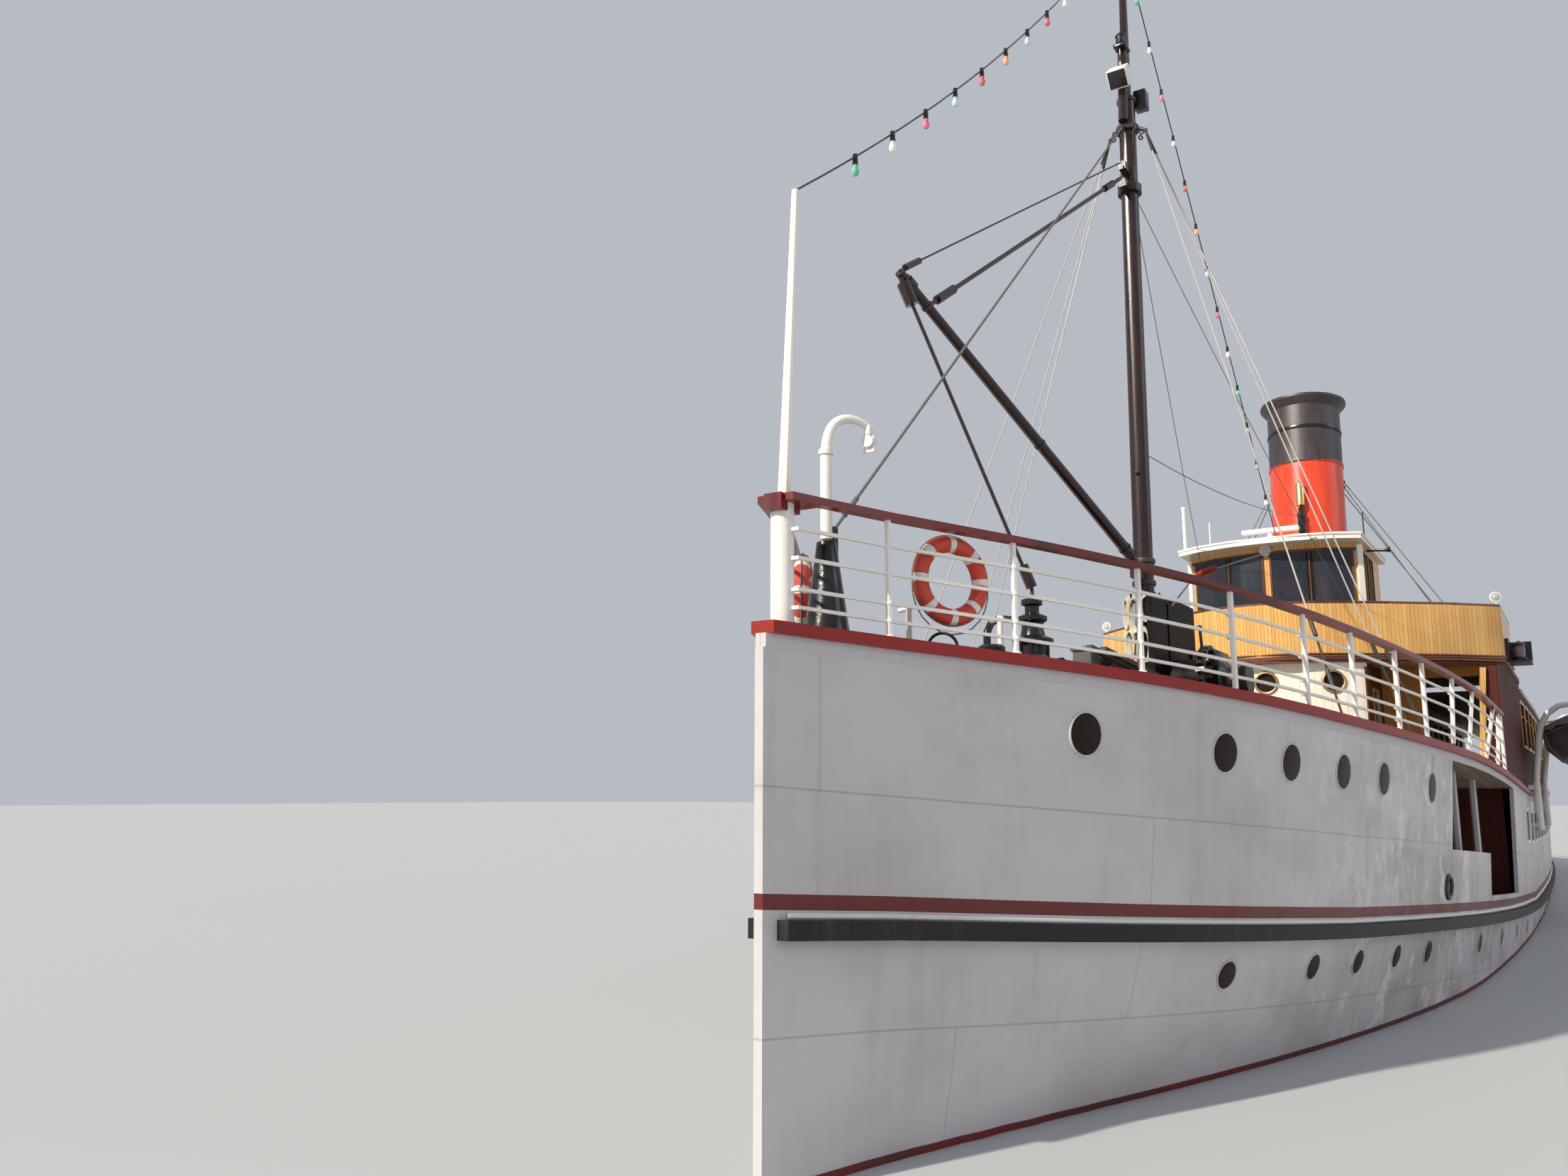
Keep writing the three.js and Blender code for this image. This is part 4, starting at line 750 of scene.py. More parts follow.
class Forge:
    """Gathers the shapes of one piece, drawn in real metres with X forward from amidships."""

    def __init__(self) -> None:
        """Starts with nothing."""
        self.mesh = bmesh.new()

    @staticmethod
    def frame(start: Vector, end: Vector) -> Matrix:
        """Gives the turn and place that lay Z along a line, about its middle."""
        turn = UP.rotation_difference(end - start)
        return Matrix.Translation((start + end) / 2) @ turn.to_matrix().to_4x4()

    def rod(self, start: Vector, end: Vector, radius: float, tip: float | None = None,
            sides: int = 12) -> None:
        """Adds a round bar, tapered if it has a tip radius."""
        bmesh.ops.create_cone(
            self.mesh, cap_ends=True, segments=sides, radius1=radius, radius2=radius if tip is None else tip,
            depth=(end - start).length, matrix=self.frame(start, end))

    def block(self, low: Vector, high: Vector, bevel: float = 0.0, turn: Matrix | None = None) -> None:
        """Adds a box between two corners.

        Args:
            low: one corner.
            high: the other.
            bevel: how far its edges are rounded.
            turn: a turn about its middle, if any.
        """
        size = high - low
        spread = Matrix.Diagonal((abs(size.x), abs(size.y), abs(size.z), 1))
        pose = Matrix.Translation((low + high) / 2) @ (turn or Matrix.Identity(4)) @ spread
        made = bmesh.ops.create_cube(self.mesh, size=1.0, matrix=pose)["verts"]
        if bevel > 0:
            self.soften(made, bevel)

    def lump(self, centre: Vector, half: Sequence[float], bevel: float, turn: Matrix | None = None) -> None:
        """Adds a box about its middle."""
        self.block(centre - Vector(half), centre + Vector(half), bevel, turn)

    def soften(self, corners: Iterable[bmesh.types.BMVert], bevel: float) -> None:
        """Rounds every edge at some corners."""
        edges = list({edge for corner in corners for edge in corner.link_edges})
        bmesh.ops.bevel(self.mesh, geom=edges, offset=bevel, segments=2, profile=0.5, affect="EDGES",
                        material=-1, clamp_overlap=True)

    def ball(self, centre: Vector, radius: float, stretch: Sequence[float] = (1, 1, 1),
             fine: int = 12) -> None:
        """Adds a ball, stretched if wanted."""
        pose = Matrix.Translation(centre) @ Matrix.Diagonal((*stretch, 1))
        bmesh.ops.create_uvsphere(self.mesh, u_segments=fine, v_segments=max(6, fine // 2), radius=radius,
                                  matrix=pose)

    def ring(self, centre: Vector, axis: Vector, radius: float, tube: float, sides: int = 32,
             around: int = 8) -> None:
        """Adds a round ring.

        Args:
            centre: its middle.
            axis: the axis that it lies about.
            radius: from the axis to the middle of the bar.
            tube: the bar's own radius.
            sides: steps round the axis.
            around: steps round the bar.
        """
        turn = UP.rotation_difference(axis)
        side = turn @ AHEAD * radius
        flat = (turn @ Quaternion((1, 0, 0), math.radians(90))).to_matrix().to_4x4()
        made = bmesh.ops.create_circle(self.mesh, cap_ends=False, segments=around, radius=tube,
                                       matrix=Matrix.Translation(centre + side) @ flat)["verts"]
        edges = list({edge for corner in made for edge in corner.link_edges})
        bmesh.ops.spin(self.mesh, geom=[*made, *edges], cent=centre, axis=axis.normalized(),
                       angle=2 * math.pi, steps=sides, use_merge=True)

    def turned(self, profile: Sequence[tuple[float, float]], base: Vector, axis: Vector = UP,
               sides: int = 24) -> None:
        """Adds a turned body.

        Args:
            profile: rows of radius and height along the axis.
            base: where the height is 0.
            axis: the way that the height rises.
            sides: steps round the axis.
        """
        old = set(self.mesh.verts)
        turn = UP.rotation_difference(axis)
        corners = [self.mesh.verts.new(base + turn @ Vector((r, 0, h))) for r, h in profile]
        edges = [self.mesh.edges.new(pair) for pair in zip(corners, corners[1:])]
        bmesh.ops.spin(self.mesh, geom=[*corners, *edges], cent=base, axis=axis.normalized(),
                       angle=2 * math.pi, steps=sides, use_merge=True)
        fresh = [corner for corner in self.mesh.verts if corner not in old]
        bmesh.ops.remove_doubles(self.mesh, verts=fresh, dist=SAME_SPOT)

    def knob(self, profile: Sequence[tuple[float, float]], base: Vector, axis: Vector = UP,
             sides: int = 24) -> None:
        """Adds a turned body that is closed flat at both ends."""
        self.turned([(0.0, profile[0][1]), *profile, (0.0, profile[-1][1])], base, axis, sides)

    def hoop(self, spot: Vector, axis: Vector, radius: float, half: float, swell: float, deep: float = 0.03,
             sides: int = 24) -> None:
        """Adds a band round a spar.

        Args:
            spot: its middle.
            axis: the spar's way.
            radius: its radius at its edges.
            half: half its width.
            swell: how much thicker its middle is.
            deep: how far it goes into the spar.
            sides: steps round the axis.
        """
        inner = radius - deep
        self.turned([(inner, -half), (radius, -half), (radius + swell, 0.0), (radius, half), (inner, half)],
                    spot, axis, sides)

    def beam(self, start: Vector, end: Vector, wide: float, deep: float, out: Vector) -> None:
        """Adds a square bar along a line.

        Args:
            start: one end of its middle line.
            end: the other end.
            wide: width across the face that looks out.
            deep: depth along the way out.
            out: the way that one face looks.
        """
        along = end - start
        side = out.cross(along).normalized()
        face = along.cross(side).normalized()
        pose = Matrix((along, side * wide, face * deep)).transposed().to_4x4()
        pose.translation = (start + end) / 2
        bmesh.ops.create_cube(self.mesh, size=1.0, matrix=pose)

    def strips(self, outline: Pairs, sign: float, up: float, size: tuple[float, float], lean: float) -> None:
        """Adds flat strips along the front of a house.

        Args:
            outline: rows of aft and half-breadth.
            sign: 1 to port and -1 to starboard.
            up: height of their middle.
            size: their height and depth.
            lean: how far their faces turn outboard.
        """
        for before, after in zip(outline, outline[1:]):
            start, end = [place(aft - 0.012, sign * b, up) for aft, b in (before, after)]
            self.beam(start, end, *size, Vector((1, sign * lean, 0)))

    def pane(self, corners: Sequence[Vector], out: Vector, thick: float = 0.012) -> None:
        """Adds a thin sheet between corners, square to the way out."""
        self.slab([corner - out * (thick / 2) for corner in corners], out * thick)

    def sheet(self, columns: int, rows: int, shape: Callable[[float, float], Vector], thick: float) -> None:
        """Adds a curved sheet.

        Args:
            columns: how many strips along.
            rows: how many strips across.
            shape: gives a point for shares along and across, from 0 to 1.
            thick: the sheet's thickness.
        """
        made = bmesh.ops.create_grid(self.mesh, x_segments=columns, y_segments=rows, size=0.5)["verts"]
        for corner in made:
            corner.co = shape(corner.co.x + 0.5, corner.co.y + 0.5)
        faces = list({face for corner in made for face in corner.link_faces})
        bmesh.ops.recalc_face_normals(self.mesh, faces=faces)
        bmesh.ops.solidify(self.mesh, geom=[*made, *faces], thickness=thick)

    @staticmethod
    def curve(points: Sequence[Vector], steps: int = 5) -> list[Vector]:
        """Draws a smooth line through points.

        Args:
            points: the points.
            steps: pieces of the line from point to point.

        Returns:
            The points of the smooth line.
        """
        line = [points[0]]
        for index, (start, end) in enumerate(zip(points, points[1:])):
            before, after = points[max(index - 1, 0)], points[min(index + 2, len(points) - 1)]
            lead, trail = start + (end - before) / 6, end - (after - start) / 6
            line += interpolate_bezier(start, lead, trail, end, steps + 1)[1:]
        return line

    def tube(self, points: Sequence[Vector], radius: float, sides: int = 8, tip: float | None = None) -> None:
        """Adds a round tube.

        Args:
            points: its middle line.
            radius: its radius.
            sides: steps round it.
            tip: its radius at the last point, if it tapers.
        """
        loops = []
        last = len(points) - 1
        turn = UP.rotation_difference(points[1] - points[0])
        for index, point in enumerate(points):
            ahead = points[min(index + 1, last)] - points[max(index - 1, 0)]
            turn = (turn @ UP).rotation_difference(ahead) @ turn
            wide = radius if tip is None else radius + (tip - radius) * index / last
            made = bmesh.ops.create_circle(self.mesh, cap_ends=index in (0, last), segments=sides,
                                           radius=wide,
                                           matrix=Matrix.Translation(point) @ turn.to_matrix().to_4x4())
            loops.append({edge for corner in made["verts"] for edge in corner.link_edges})
        for before, after in zip(loops, loops[1:]):
            bmesh.ops.bridge_loops(self.mesh, edges=[*before, *after])

    def slab(self, outline: Sequence[Vector], rise: Vector) -> None:
        """Adds a plate.

        Args:
            outline: its corners in order.
            rise: how far, and which way, they are pushed.
        """
        face = self.mesh.faces.new([self.mesh.verts.new(corner) for corner in outline])
        made = bmesh.ops.extrude_face_region(self.mesh, geom=[face])["geom"]
        lifted = [v for v in made if isinstance(v, bmesh.types.BMVert)]
        bmesh.ops.translate(self.mesh, verts=lifted, vec=rise)

    def finish(self, name: str, finish: Finish, slot: str, body: str = "ship",
               replaces: Iterable[str] = ()) -> bpy.types.Object:
        """Turns what was gathered into a piece of the model.

        Args:
            name: the piece's name.
            finish: its finish.
            slot: the record's material slot; not used.
            body: the body that it rides on.
            replaces: the nodes that it stands for.

        Returns:
            The new object.
        """
        bmesh.ops.recalc_face_normals(self.mesh, faces=self.mesh.faces[:])
        bmesh.ops.scale(self.mesh, vec=(MODEL,) * 3, verts=self.mesh.verts[:])
        for face in self.mesh.faces:
            face.smooth = True
        for edge in self.mesh.edges:
            if len(edge.link_faces) == 2 and edge.calc_face_angle() > SMOOTH_LIMIT:
                edge.smooth = False
        data = bpy.data.meshes.new(name)
        self.mesh.to_mesh(data)
        triangles = sum(len(face.verts) - 2 for face in self.mesh.faces)
        self.mesh.free()
        made = bpy.data.objects.new(name, data)
        bpy.context.scene.collection.objects.link(made)
        data.materials.append(finish.material())
        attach(made, body)
        if replaces:
            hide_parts(*replaces)
        log.info("%s: %d triangles", name, triangles)
        return made


class ShipSide:
    """Finds the ship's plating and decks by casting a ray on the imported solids."""

    def __init__(self, nodes: dict[str, bpy.types.Object], *names: str) -> None:
        """Gathers the solids that are looked for.

        Args:
            nodes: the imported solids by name.
            names: those that the rays can meet.
        """
        corners, faces = [], []
        for name in names:
            shift = len(corners)
            data = nodes[name].data
            corners.extend(v.co.copy() for v in data.vertices)
            faces.extend(tuple(shift + i for i in p.vertices) for p in data.polygons)
        self.tree = BVHTree.FromPolygons(corners, faces)

    def out(self, aft: float, up: float, side: float) -> tuple[Vector, Vector]:
        """Finds the plating from outboard.

        Args:
            aft: distance from the stem.
            up: height over the water.
            side: 1 to port and -1 to starboard.

        Returns:
            The point, and the way that the plating faces.
        """
        origin = place(aft, side * 8, up) * MODEL
        hit, normal, _, _ = self.tree.ray_cast(origin, TO_PORT * -side)
        return hit / MODEL, normal

    def down(self, aft: float, port: float, top: float) -> Vector:
        """Finds the deck under a point."""
        hit, _, _, _ = self.tree.ray_cast(place(aft, port, top) * MODEL, -UP)
        return hit / MODEL


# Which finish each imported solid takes.
NODE_FINISHES: dict[str, Finish] = {
    "hull": SHELL, "rubbing_strake": STRAKE, "promenade_deck": DECK, "deck_edge_cap": CAP_RED,
    "fore_rails": WHITE, "fore_handrail": TEAK, "lifebuoy": CAP_RED, "aft_rails": WHITE,
    "fore_bulkhead": PANEL, "aft_bulkhead": PANEL, "stern_bulwark": SHELL, "boiler_block": IRON,
    "engine_block": IRON, "bridge_house": HOUSE, "bridge_deck": BRIDGE_PLANKS, "bridge_bulwark": VARNISH,
    "wheelhouse_walls": VARNISH, "wheelhouse_roof": WHITE, "funnel_casing": WHITE, "funnel": FUNNEL,
    "steam_whistle": BRASS, "promenade_roof": ROOF, "saloon_house": CABIN, "foremast": MAST,
    "foremast_stays": WIRE_ROPE, "derrick_boom": SPAR, "jackstaff": WHITE, "davit_stand": BLACK,
    "anchor_davit": WHITE, "capstan_base": BLACK, "capstan_drum": BLACK, "cargo_winch": MACHINERY,
    "fore_hatch": GREY, "swan_neck_vent": BLACK, "rudder": BOOT, "ensign_staff": WHITE,
}
SIDED_FINISHES: dict[str, Finish] = {
    "main_side_wall": SHELL, "side_screen": PANEL, "house_door": VARNISH, "wheelhouse_door": VARNISH,
    "lifeboat": BOAT, "boat_davit_fore": WHITE, "boat_davit_aft": WHITE, "sidelight_box": BLACK,
    "shaft_line": BOOT, "propeller": BRONZE,
}


def dress_nodes(nodes: dict[str, bpy.types.Object]) -> None:
    """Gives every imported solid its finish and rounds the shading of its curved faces.

    Args:
        nodes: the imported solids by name.
    """
    table = dict(NODE_FINISHES)
    for stem, finish in SIDED_FINISHES.items():
        for side, _ in SIDES:
            table[f"{stem}_{side}"] = finish
    for name, node in nodes.items():
        node.data.materials.clear()
        node.data.materials.append(table[name].material())
        node.data.polygons.foreach_set("use_smooth", [True] * len(node.data.polygons))
        weld = node.modifiers.new("weld", "WELD")
        weld.merge_threshold = SAME_SPOT
        split = node.modifiers.new("edge_split", "EDGE_SPLIT")
        split.split_angle = SMOOTH_LIMIT
        log.info("%s dressed with %s", name, table[name].name)


@dataclass
class Studio:
    """The camera of the photograph, a pale floor at the waterline, and soft light."""

    ahead: float = 6.98
    out: float = 4.79
    eye: float = 2.6
    heading: float = 33.28
    pitch: float = 9.62
    sensor: float = 36.0
    focal_pixels: float = 1720
    frame_pixels: float = 2212
    floor_half: float = 160.0

    def build(self) -> None:
        """Makes the camera, the floor, the lamps and the sky."""
        self.camera()
        self.floor()
        self.lamps()

    def camera(self) -> None:
        """Makes the camera."""
        data = bpy.data.cameras.new("camera")
        data.sensor_width = self.sensor
        data.lens = self.sensor * self.focal_pixels / self.frame_pixels
        data.clip_end = 500.0
        camera = bpy.data.objects.new("camera", data)
        heading, pitch = math.radians(self.heading), math.radians(self.pitch)
        look = Vector((-math.cos(heading) * math.cos(pitch), -math.sin(heading) * math.cos(pitch),
                       math.sin(pitch)))
        camera.location = Vector((HALF_LENGTH + self.ahead, self.out, self.eye)) * MODEL
        camera.rotation_mode = "QUATERNION"
        camera.rotation_quaternion = look.to_track_quat("-Z", "Y")
        bpy.context.scene.collection.objects.link(camera)
        bpy.context.scene.camera = camera

    def floor(self) -> None:
        """Makes the plain floor."""
        mesh = bmesh.new()
        bmesh.ops.create_grid(mesh, x_segments=1, y_segments=1, size=self.floor_half)
        data = bpy.data.meshes.new("floor")
        mesh.to_mesh(data)
        mesh.free()
        floor = bpy.data.objects.new("floor", data)
        data.materials.append(FloorPaint("floor_paint").material())
        bpy.context.scene.collection.objects.link(floor)

    def lamps(self) -> None:
        """Makes a soft sun from the starboard bow, a weak one from the port quarter, and a pale sky."""
        table = (("sun", 4.6, (0.76, -0.32, 0.56), 1.5, (1.0, 0.93, 0.80)),
                 ("fill", 0.3, (-0.25, 0.85, 0.45), 30.0, (0.95, 0.95, 1.0)))
        for name, power, toward, spread, colour in table:
            data = bpy.data.lights.new(name, "SUN")
            data.energy = power
            data.angle = math.radians(spread)
            data.color = colour
            lamp = bpy.data.objects.new(name, data)
            lamp.rotation_mode = "QUATERNION"
            lamp.rotation_quaternion = Vector(toward).to_track_quat("Z", "Y")
            bpy.context.scene.collection.objects.link(lamp)
        world = bpy.data.worlds.new("pale_sky")
        world.use_nodes = True
        background = world.node_tree.nodes["Background"]
        background.inputs["Color"].default_value = (0.50, 0.53, 0.58, 1.0)
        background.inputs["Strength"].default_value = 0.95
        bpy.context.scene.world = world
        bpy.context.scene.view_settings.view_transform = "Standard"


@dataclass
class ShellFittings:
    """Portholes, mooring pipe and moulding on the ship's side."""

    side: ShipSide
    upper: Pairs = (
        (2.78, 3.09), (4.40, 2.97), (5.45, 2.90), (6.58, 2.83), (7.74, 2.77), (9.59, 2.68))
    lower: Pairs = (
        (4.80, 0.99), (6.36, 0.92), (7.44, 0.87), (8.60, 0.82), (9.79, 0.76))
    upper_radius: float = 0.175
    lower_radius: float = 0.13
    after_first: float = 12.6
    after_pitch: float = 2.15
    after_count: int = 15
    after_drop: float = 0.54
    pipe: tuple[float, float] = (10.42, 1.48)

    def holes(self) -> list[tuple[float, float, float]]:
        """Lists every porthole.

        Returns:
            Rows of aft, up and radius.
        """
        rows = [(aft, up, self.upper_radius) for aft, up in self.upper]
        rows += [(aft, up, self.lower_radius) for aft, up in self.lower]
        for index in range(self.after_count):
            aft = self.after_first + index * self.after_pitch
            rows.append((aft, deck_line(aft, 3) - self.after_drop, self.lower_radius))
        return rows

    def build(self) -> None:
        """Makes the pieces on both sides."""
        rims, glass, moulding, pipes = Forge(), Forge(), Forge(), Forge()
        for _, sign in SIDES:
            for aft, up, radius in self.holes():
                spot, way = self.side.out(aft, up, sign)
                rims.ring(spot, way, radius + 0.008, 0.012, 28, 6)
                # Each glass is an opaque disc; its dark finish is painted shade of the unlit cabin behind it.
                glass.turned([(0.0, 0.008), (radius * 0.8, 0.007), (radius, 0.002), (radius, -0.01),
                              (0.0, -0.012)], spot, way, 28)
            spots = [0.2, 0.6, 1.06, 1.6, 2.12, 2.7, 3.37, 4.1, 5.0, 6.0, 7.0, 8.2, 9.4, 10.6, 12.2, 14.0,
                     16.0, 18.2, 22.0, 26.0, 30.0, 33.0, 36.0, 39.0, 42.0, 44.0, 46.0, 47.7, 49.0, 50.0,
                     50.7, 51.05]
            line = [self.side.out(aft, deck_line(aft, 3) - 0.135, sign)[0] for aft in spots]
            moulding.tube(line, 0.022, 8)
            spot, way = self.side.out(*self.pipe, sign)
            pipes.ring(spot, way, 0.13, 0.035, 24, 8)
            pipes.turned([(0.0, 0.01), (0.11, 0.008), (0.13, -0.02), (0.0, -0.03)], spot, way, 24)
        rims.finish("port_rims", SHELL, "hull_white")
        glass.finish("port_glasses", PAINTED_SHADE_GLASS, "black_paint")
        moulding.finish("shell_moulding", WHITE, "white_paint")
        pipes.finish("mooring_pipes", BLACK, "black_paint")


@dataclass
class ForeRailFittings:
    """Knobs where the rods pass the stanchions, collars at their feet, and the lifebuoys."""

    stanchions: Pairs = (
        (1.06, 1.06), (2.12, 2.12), (3.37, 3.37), (4.53, 4.53), (5.78, 5.78), (6.94, 6.94), (8.36, 8.36),
        (9.5, 9.5), (10.85, 11.1), (11.89, 12.6), (13.42, 14.9), (14.88, 15.6), (15.95, 15.95))
    shares: tuple[float, ...] = (0.13, 0.27, 0.51, 0.735)
    rail_height: float = 1.045
    cap: float = 0.09
    inset: float = 0.01
    buoy: Spot = (1.665, 0.685, 4.265)
    buoy_radius: float = 0.29
    buoy_tube: float = 0.067
    buoy_turn: float = 28.3

    def build(self) -> None:
        """Makes the pieces."""
        self.knobs()
        for side, sign in SIDES:
            self.lifebuoy(side, sign)

    def knobs(self) -> None:
        """Makes the knobs and the collars at the stanchions' feet."""
        forge = Forge()
        for foot, top in self.stanchions:
            for _, sign in SIDES:
                low = place(foot, sign * (deck_line(foot, 1) - self.inset), deck_line(foot, 2) + self.cap)
                high = place(top, sign * (deck_line(top, 1) - self.inset),
                             deck_line(top, 2) + self.rail_height)
                for share in self.shares:
                    forge.ball(low.lerp(high, share), 0.033, fine=10)
                forge.knob([(0.048, -0.005), (0.046, 0.012), (0.032, 0.02)], low, UP, 12)
        forge.finish("rail_knobs", WHITE, "white_paint")

    def lifebuoy(self, side: str, sign: float) -> None:
        """Makes one lifebuoy with its banded ring and its line.

        Args:
            side: the name of the side.
            sign: 1 to port and -1 to starboard.
        """
        aft, port, up = self.buoy
        centre = place(aft, sign * port, up)
        turn = math.radians(-self.buoy_turn * sign)
        way = Matrix.Rotation(turn, 3, "Z") @ TO_PORT
        finish = BuoyCanvas(f"buoy_canvas_{side}", (0.60, 0.055, 0.028), (0.34, 0.04, 0.025),
                            centre=tuple(centre * MODEL), turn=turn, bands=8, band_share=0.24)
        ring = Forge()
        ring.ring(centre, way, self.buoy_radius, self.buoy_tube, 64, 20)
        ring.finish(f"lifebuoy_ring_{side}", finish, "buoy_orange", replaces=["lifebuoy"] if sign > 0 else [])
        line = Forge()
        line.ring(centre, way, self.buoy_radius + self.buoy_tube + 0.006, 0.006, 48, 6)
        along = Matrix.Rotation(turn, 3, "Z") @ AHEAD
        droop = []
        for step in range(13):
            angle = math.radians(185 + step * 14)
            slack = self.buoy_radius + self.buoy_tube + 0.012 + 0.06 * math.sin(math.radians(step * 15))
            droop.append(centre + along * slack * math.cos(angle) + UP * (slack * math.sin(angle)))
        line.tube(droop, 0.006, 6)
        line.finish(f"lifebuoy_line_{side}", Canvas("buoy_line", (0.22, 0.20, 0.18), (0.12, 0.10, 0.09),
                                                    0.002), "buoy_orange")


@dataclass
class MastFittings:
    """Lamps, bands, pins and halyards of the foremast, and the two strings of coloured lamps."""

    aft: float = 9.0
    foot: float = 3.2
    rake: float = 2.5
    jack_top: Spot = (0.48, 0.0, 7.25)
    truck_up: float = 15.44
    roof_end: Spot = (16.62, 0.25, 7.36)

    def on_mast(self, up: float, ahead: float = 0.0, port: float = 0.0) -> Vector:
        """Gives a point beside the mast's centreline."""
        return place(self.aft + (up - self.foot) * math.tan(math.radians(self.rake)) - ahead, port, up)

    def build(self) -> None:
        """Makes the pieces."""
        self.lamps()
        self.bands()
        self.strings()

    def lamps(self) -> None:
        """Makes the masthead lamp, the floodlight, whose front is a black plate of painted shade, and the
        lamp box.
        """
        black, white, glass = Forge(), Forge(), Forge()
        black.block(self.on_mast(13.32, 0.26, -0.09), self.on_mast(13.37, 0.02, 0.09), 0.008)
        black.block(self.on_mast(13.12, 0.22, -0.012), self.on_mast(13.35, 0.03, 0.012), 0.004)
        black.turned([(0.0, 0.0), (0.07, 0.0), (0.075, 0.02), (0.06, 0.03), (0.06, 0.13), (0.075, 0.14),
                      (0.05, 0.17), (0.0, 0.18)], self.on_mast(13.37, 0.19), UP, 16)
        glass.knob([(0.064, 0.035), (0.066, 0.08), (0.064, 0.125)], self.on_mast(13.37, 0.19), UP, 16)
        tilt = Matrix.Rotation(math.radians(40), 4, "Y")
        middle = self.on_mast(12.79, 0.3)
        face = middle + tilt.to_3x3() @ AHEAD * 0.132
        white.lump(middle, (0.13, 0.145, 0.14), 0.02, tilt)
        black.block(self.on_mast(12.98, 0.22, -0.03), self.on_mast(13.12, 0.08, 0.03), 0.01)
        # A thin black plate over the floodlight's front is painted shade: the front, tilted down away from
        # the light, is only dark.
        black.lump(face, (0.006, 0.125, 0.12), 0.004, tilt)
        black.block(self.on_mast(12.44, -0.06, 0.08), self.on_mast(12.72, -0.24, 0.26), 0.015)
        black.rod(self.on_mast(12.6, 0.0, 0.05), self.on_mast(12.6, -0.12, 0.14), 0.02)
        black.finish("mast_lamp_brackets_and_shaded_front", BLACK, "black_paint")
        white.finish("mast_floodlight", WHITE, "white_paint")
        glass.finish("mast_lamp_glass", WINDOW, "white_paint")

    def bands(self) -> None:
        """Makes the bands, shackles, belaying pins and hung halyards."""
        forge = Forge()
        axis = self.on_mast(12.5) - self.on_mast(3.5)
        for up, radius in ((3.28, 0.18), (5.38, 0.152), (5.68, 0.152), (12.55, 0.135)):
            forge.hoop(self.on_mast(up), axis, radius, 0.03, 0.006)
        for angle in range(0, 360, 45):
            out = compass(angle)
            spot = self.on_mast(12.0) + out * 0.205
            forge.ring(spot, out.cross(UP), 0.03, 0.011, 12, 6)
        forge.ball(self.on_mast(6.9, 0.15), 0.03)
        pins, coils = Forge(), Forge()
        for ring_up, angles in ((5.16, (-85, -50, -15, 20, 60, 95)), (4.72, (-75, -35, 10))):
            forge.ring(self.on_mast(ring_up), axis, 0.19, 0.02, 28, 8)
            for index, degrees in enumerate(angles):
                out = compass(degrees)
                spot = self.on_mast(ring_up) + out * 0.19
                pins.rod(spot - UP * 0.12, spot + UP * 0.08, 0.01, 0.016)
                self.coil(coils, spot + out * 0.03, out, 0.17 + 0.03 * (index % 3))
        halyard = [self.on_mast(up, -0.19, 0.03) for up in (5.15, 7.0, 9.0, 10.6)]
        coils.tube(halyard, 0.008, 6)
        pins.finish("belaying_pins", IRON, "mast_black")
        coils.finish("halyard_coils", PALE_ROPE, "grey_steel")
        forge.finish("mast_bands", IRON, "mast_black")

    @staticmethod
    def coil(forge: Forge, spot: Vector, out: Vector, drop: float) -> None:
        """Adds the turns of a halyard hung on a pin.

        Args:
            forge: the piece that takes it.
            spot: the pin.
            out: the way that the pin stands out from the mast.
            drop: the half-height of the hanging turns.
        """
        side = out.cross(UP)
        for turn in range(5):
            lean = out * (0.012 * turn) - UP * (drop * (1 + 0.06 * turn) - 0.05)
            loop = []
            for step in range(17):
                angle = math.radians(step * 22.5 + 90)
                wide = 0.055 + 0.008 * turn
                loop.append(spot + lean + side * wide * math.cos(angle) + UP * (drop * math.sin(angle)))
            forge.tube(loop, 0.0125, 6)

    @staticmethod
    def hang(start: Vector, end: Vector, sag: float, share: float) -> Vector:
        """Gives a point of a line that hangs between two points."""
        return start.lerp(end, share) - UP * (sag * 4 * share * (1 - share))

    def strings(self) -> None:
        """Makes the two strings of coloured lamps."""
        colours = {
            "green": (0.05, 0.42, 0.22), "white": (0.75, 0.75, 0.70), "pink": (0.65, 0.09, 0.14),
            "blue": (0.42, 0.58, 0.72), "red": (0.55, 0.03, 0.03), "amber": (0.80, 0.30, 0.12)}
        order = ("green", "white", "pink", "blue", "red", "amber", "blue", "red", "white", "green", "amber")
        wire, caps = Forge(), Forge()
        bulbs = {name: Forge() for name in colours}
        truck = self.on_mast(self.truck_up - 0.05, 0.05)
        lines = ((place(*self.jack_top), truck, 0.35, 0.105, 0.0765, 11),
                 (self.on_mast(self.truck_up - 0.08, -0.05), place(*self.roof_end), 0.0, 0.08, 0.07, 13))
        for start, end, sag, first, pitch, count in lines:
            wire.tube([self.hang(start, end, sag, k / 24) for k in range(25)], 0.009, 6)
            for index in range(count):
                spot = self.hang(start, end, sag, first + pitch * index)
                caps.rod(spot + UP * 0.02, spot - UP * 0.075, 0.022, 0.026, 10)
                bulb = bulbs[order[index % len(order)]]
                bulb.turned([(0.0, 0.0), (0.02, -0.004), (0.024, -0.03), (0.036, -0.06), (0.034, -0.085),
                             (0.02, -0.104), (0.0, -0.11)], spot - UP * 0.07, UP, 14)
        wire.finish("lamp_string_wires", BLACK, "black_paint")
        caps.finish("lamp_string_holders", BLACK, "black_paint")
        for name, bulb in bulbs.items():
            bulb.finish(f"lamp_bulbs_{name}", LampGlass(f"bulb_{name}", colours[name]), "white_paint")


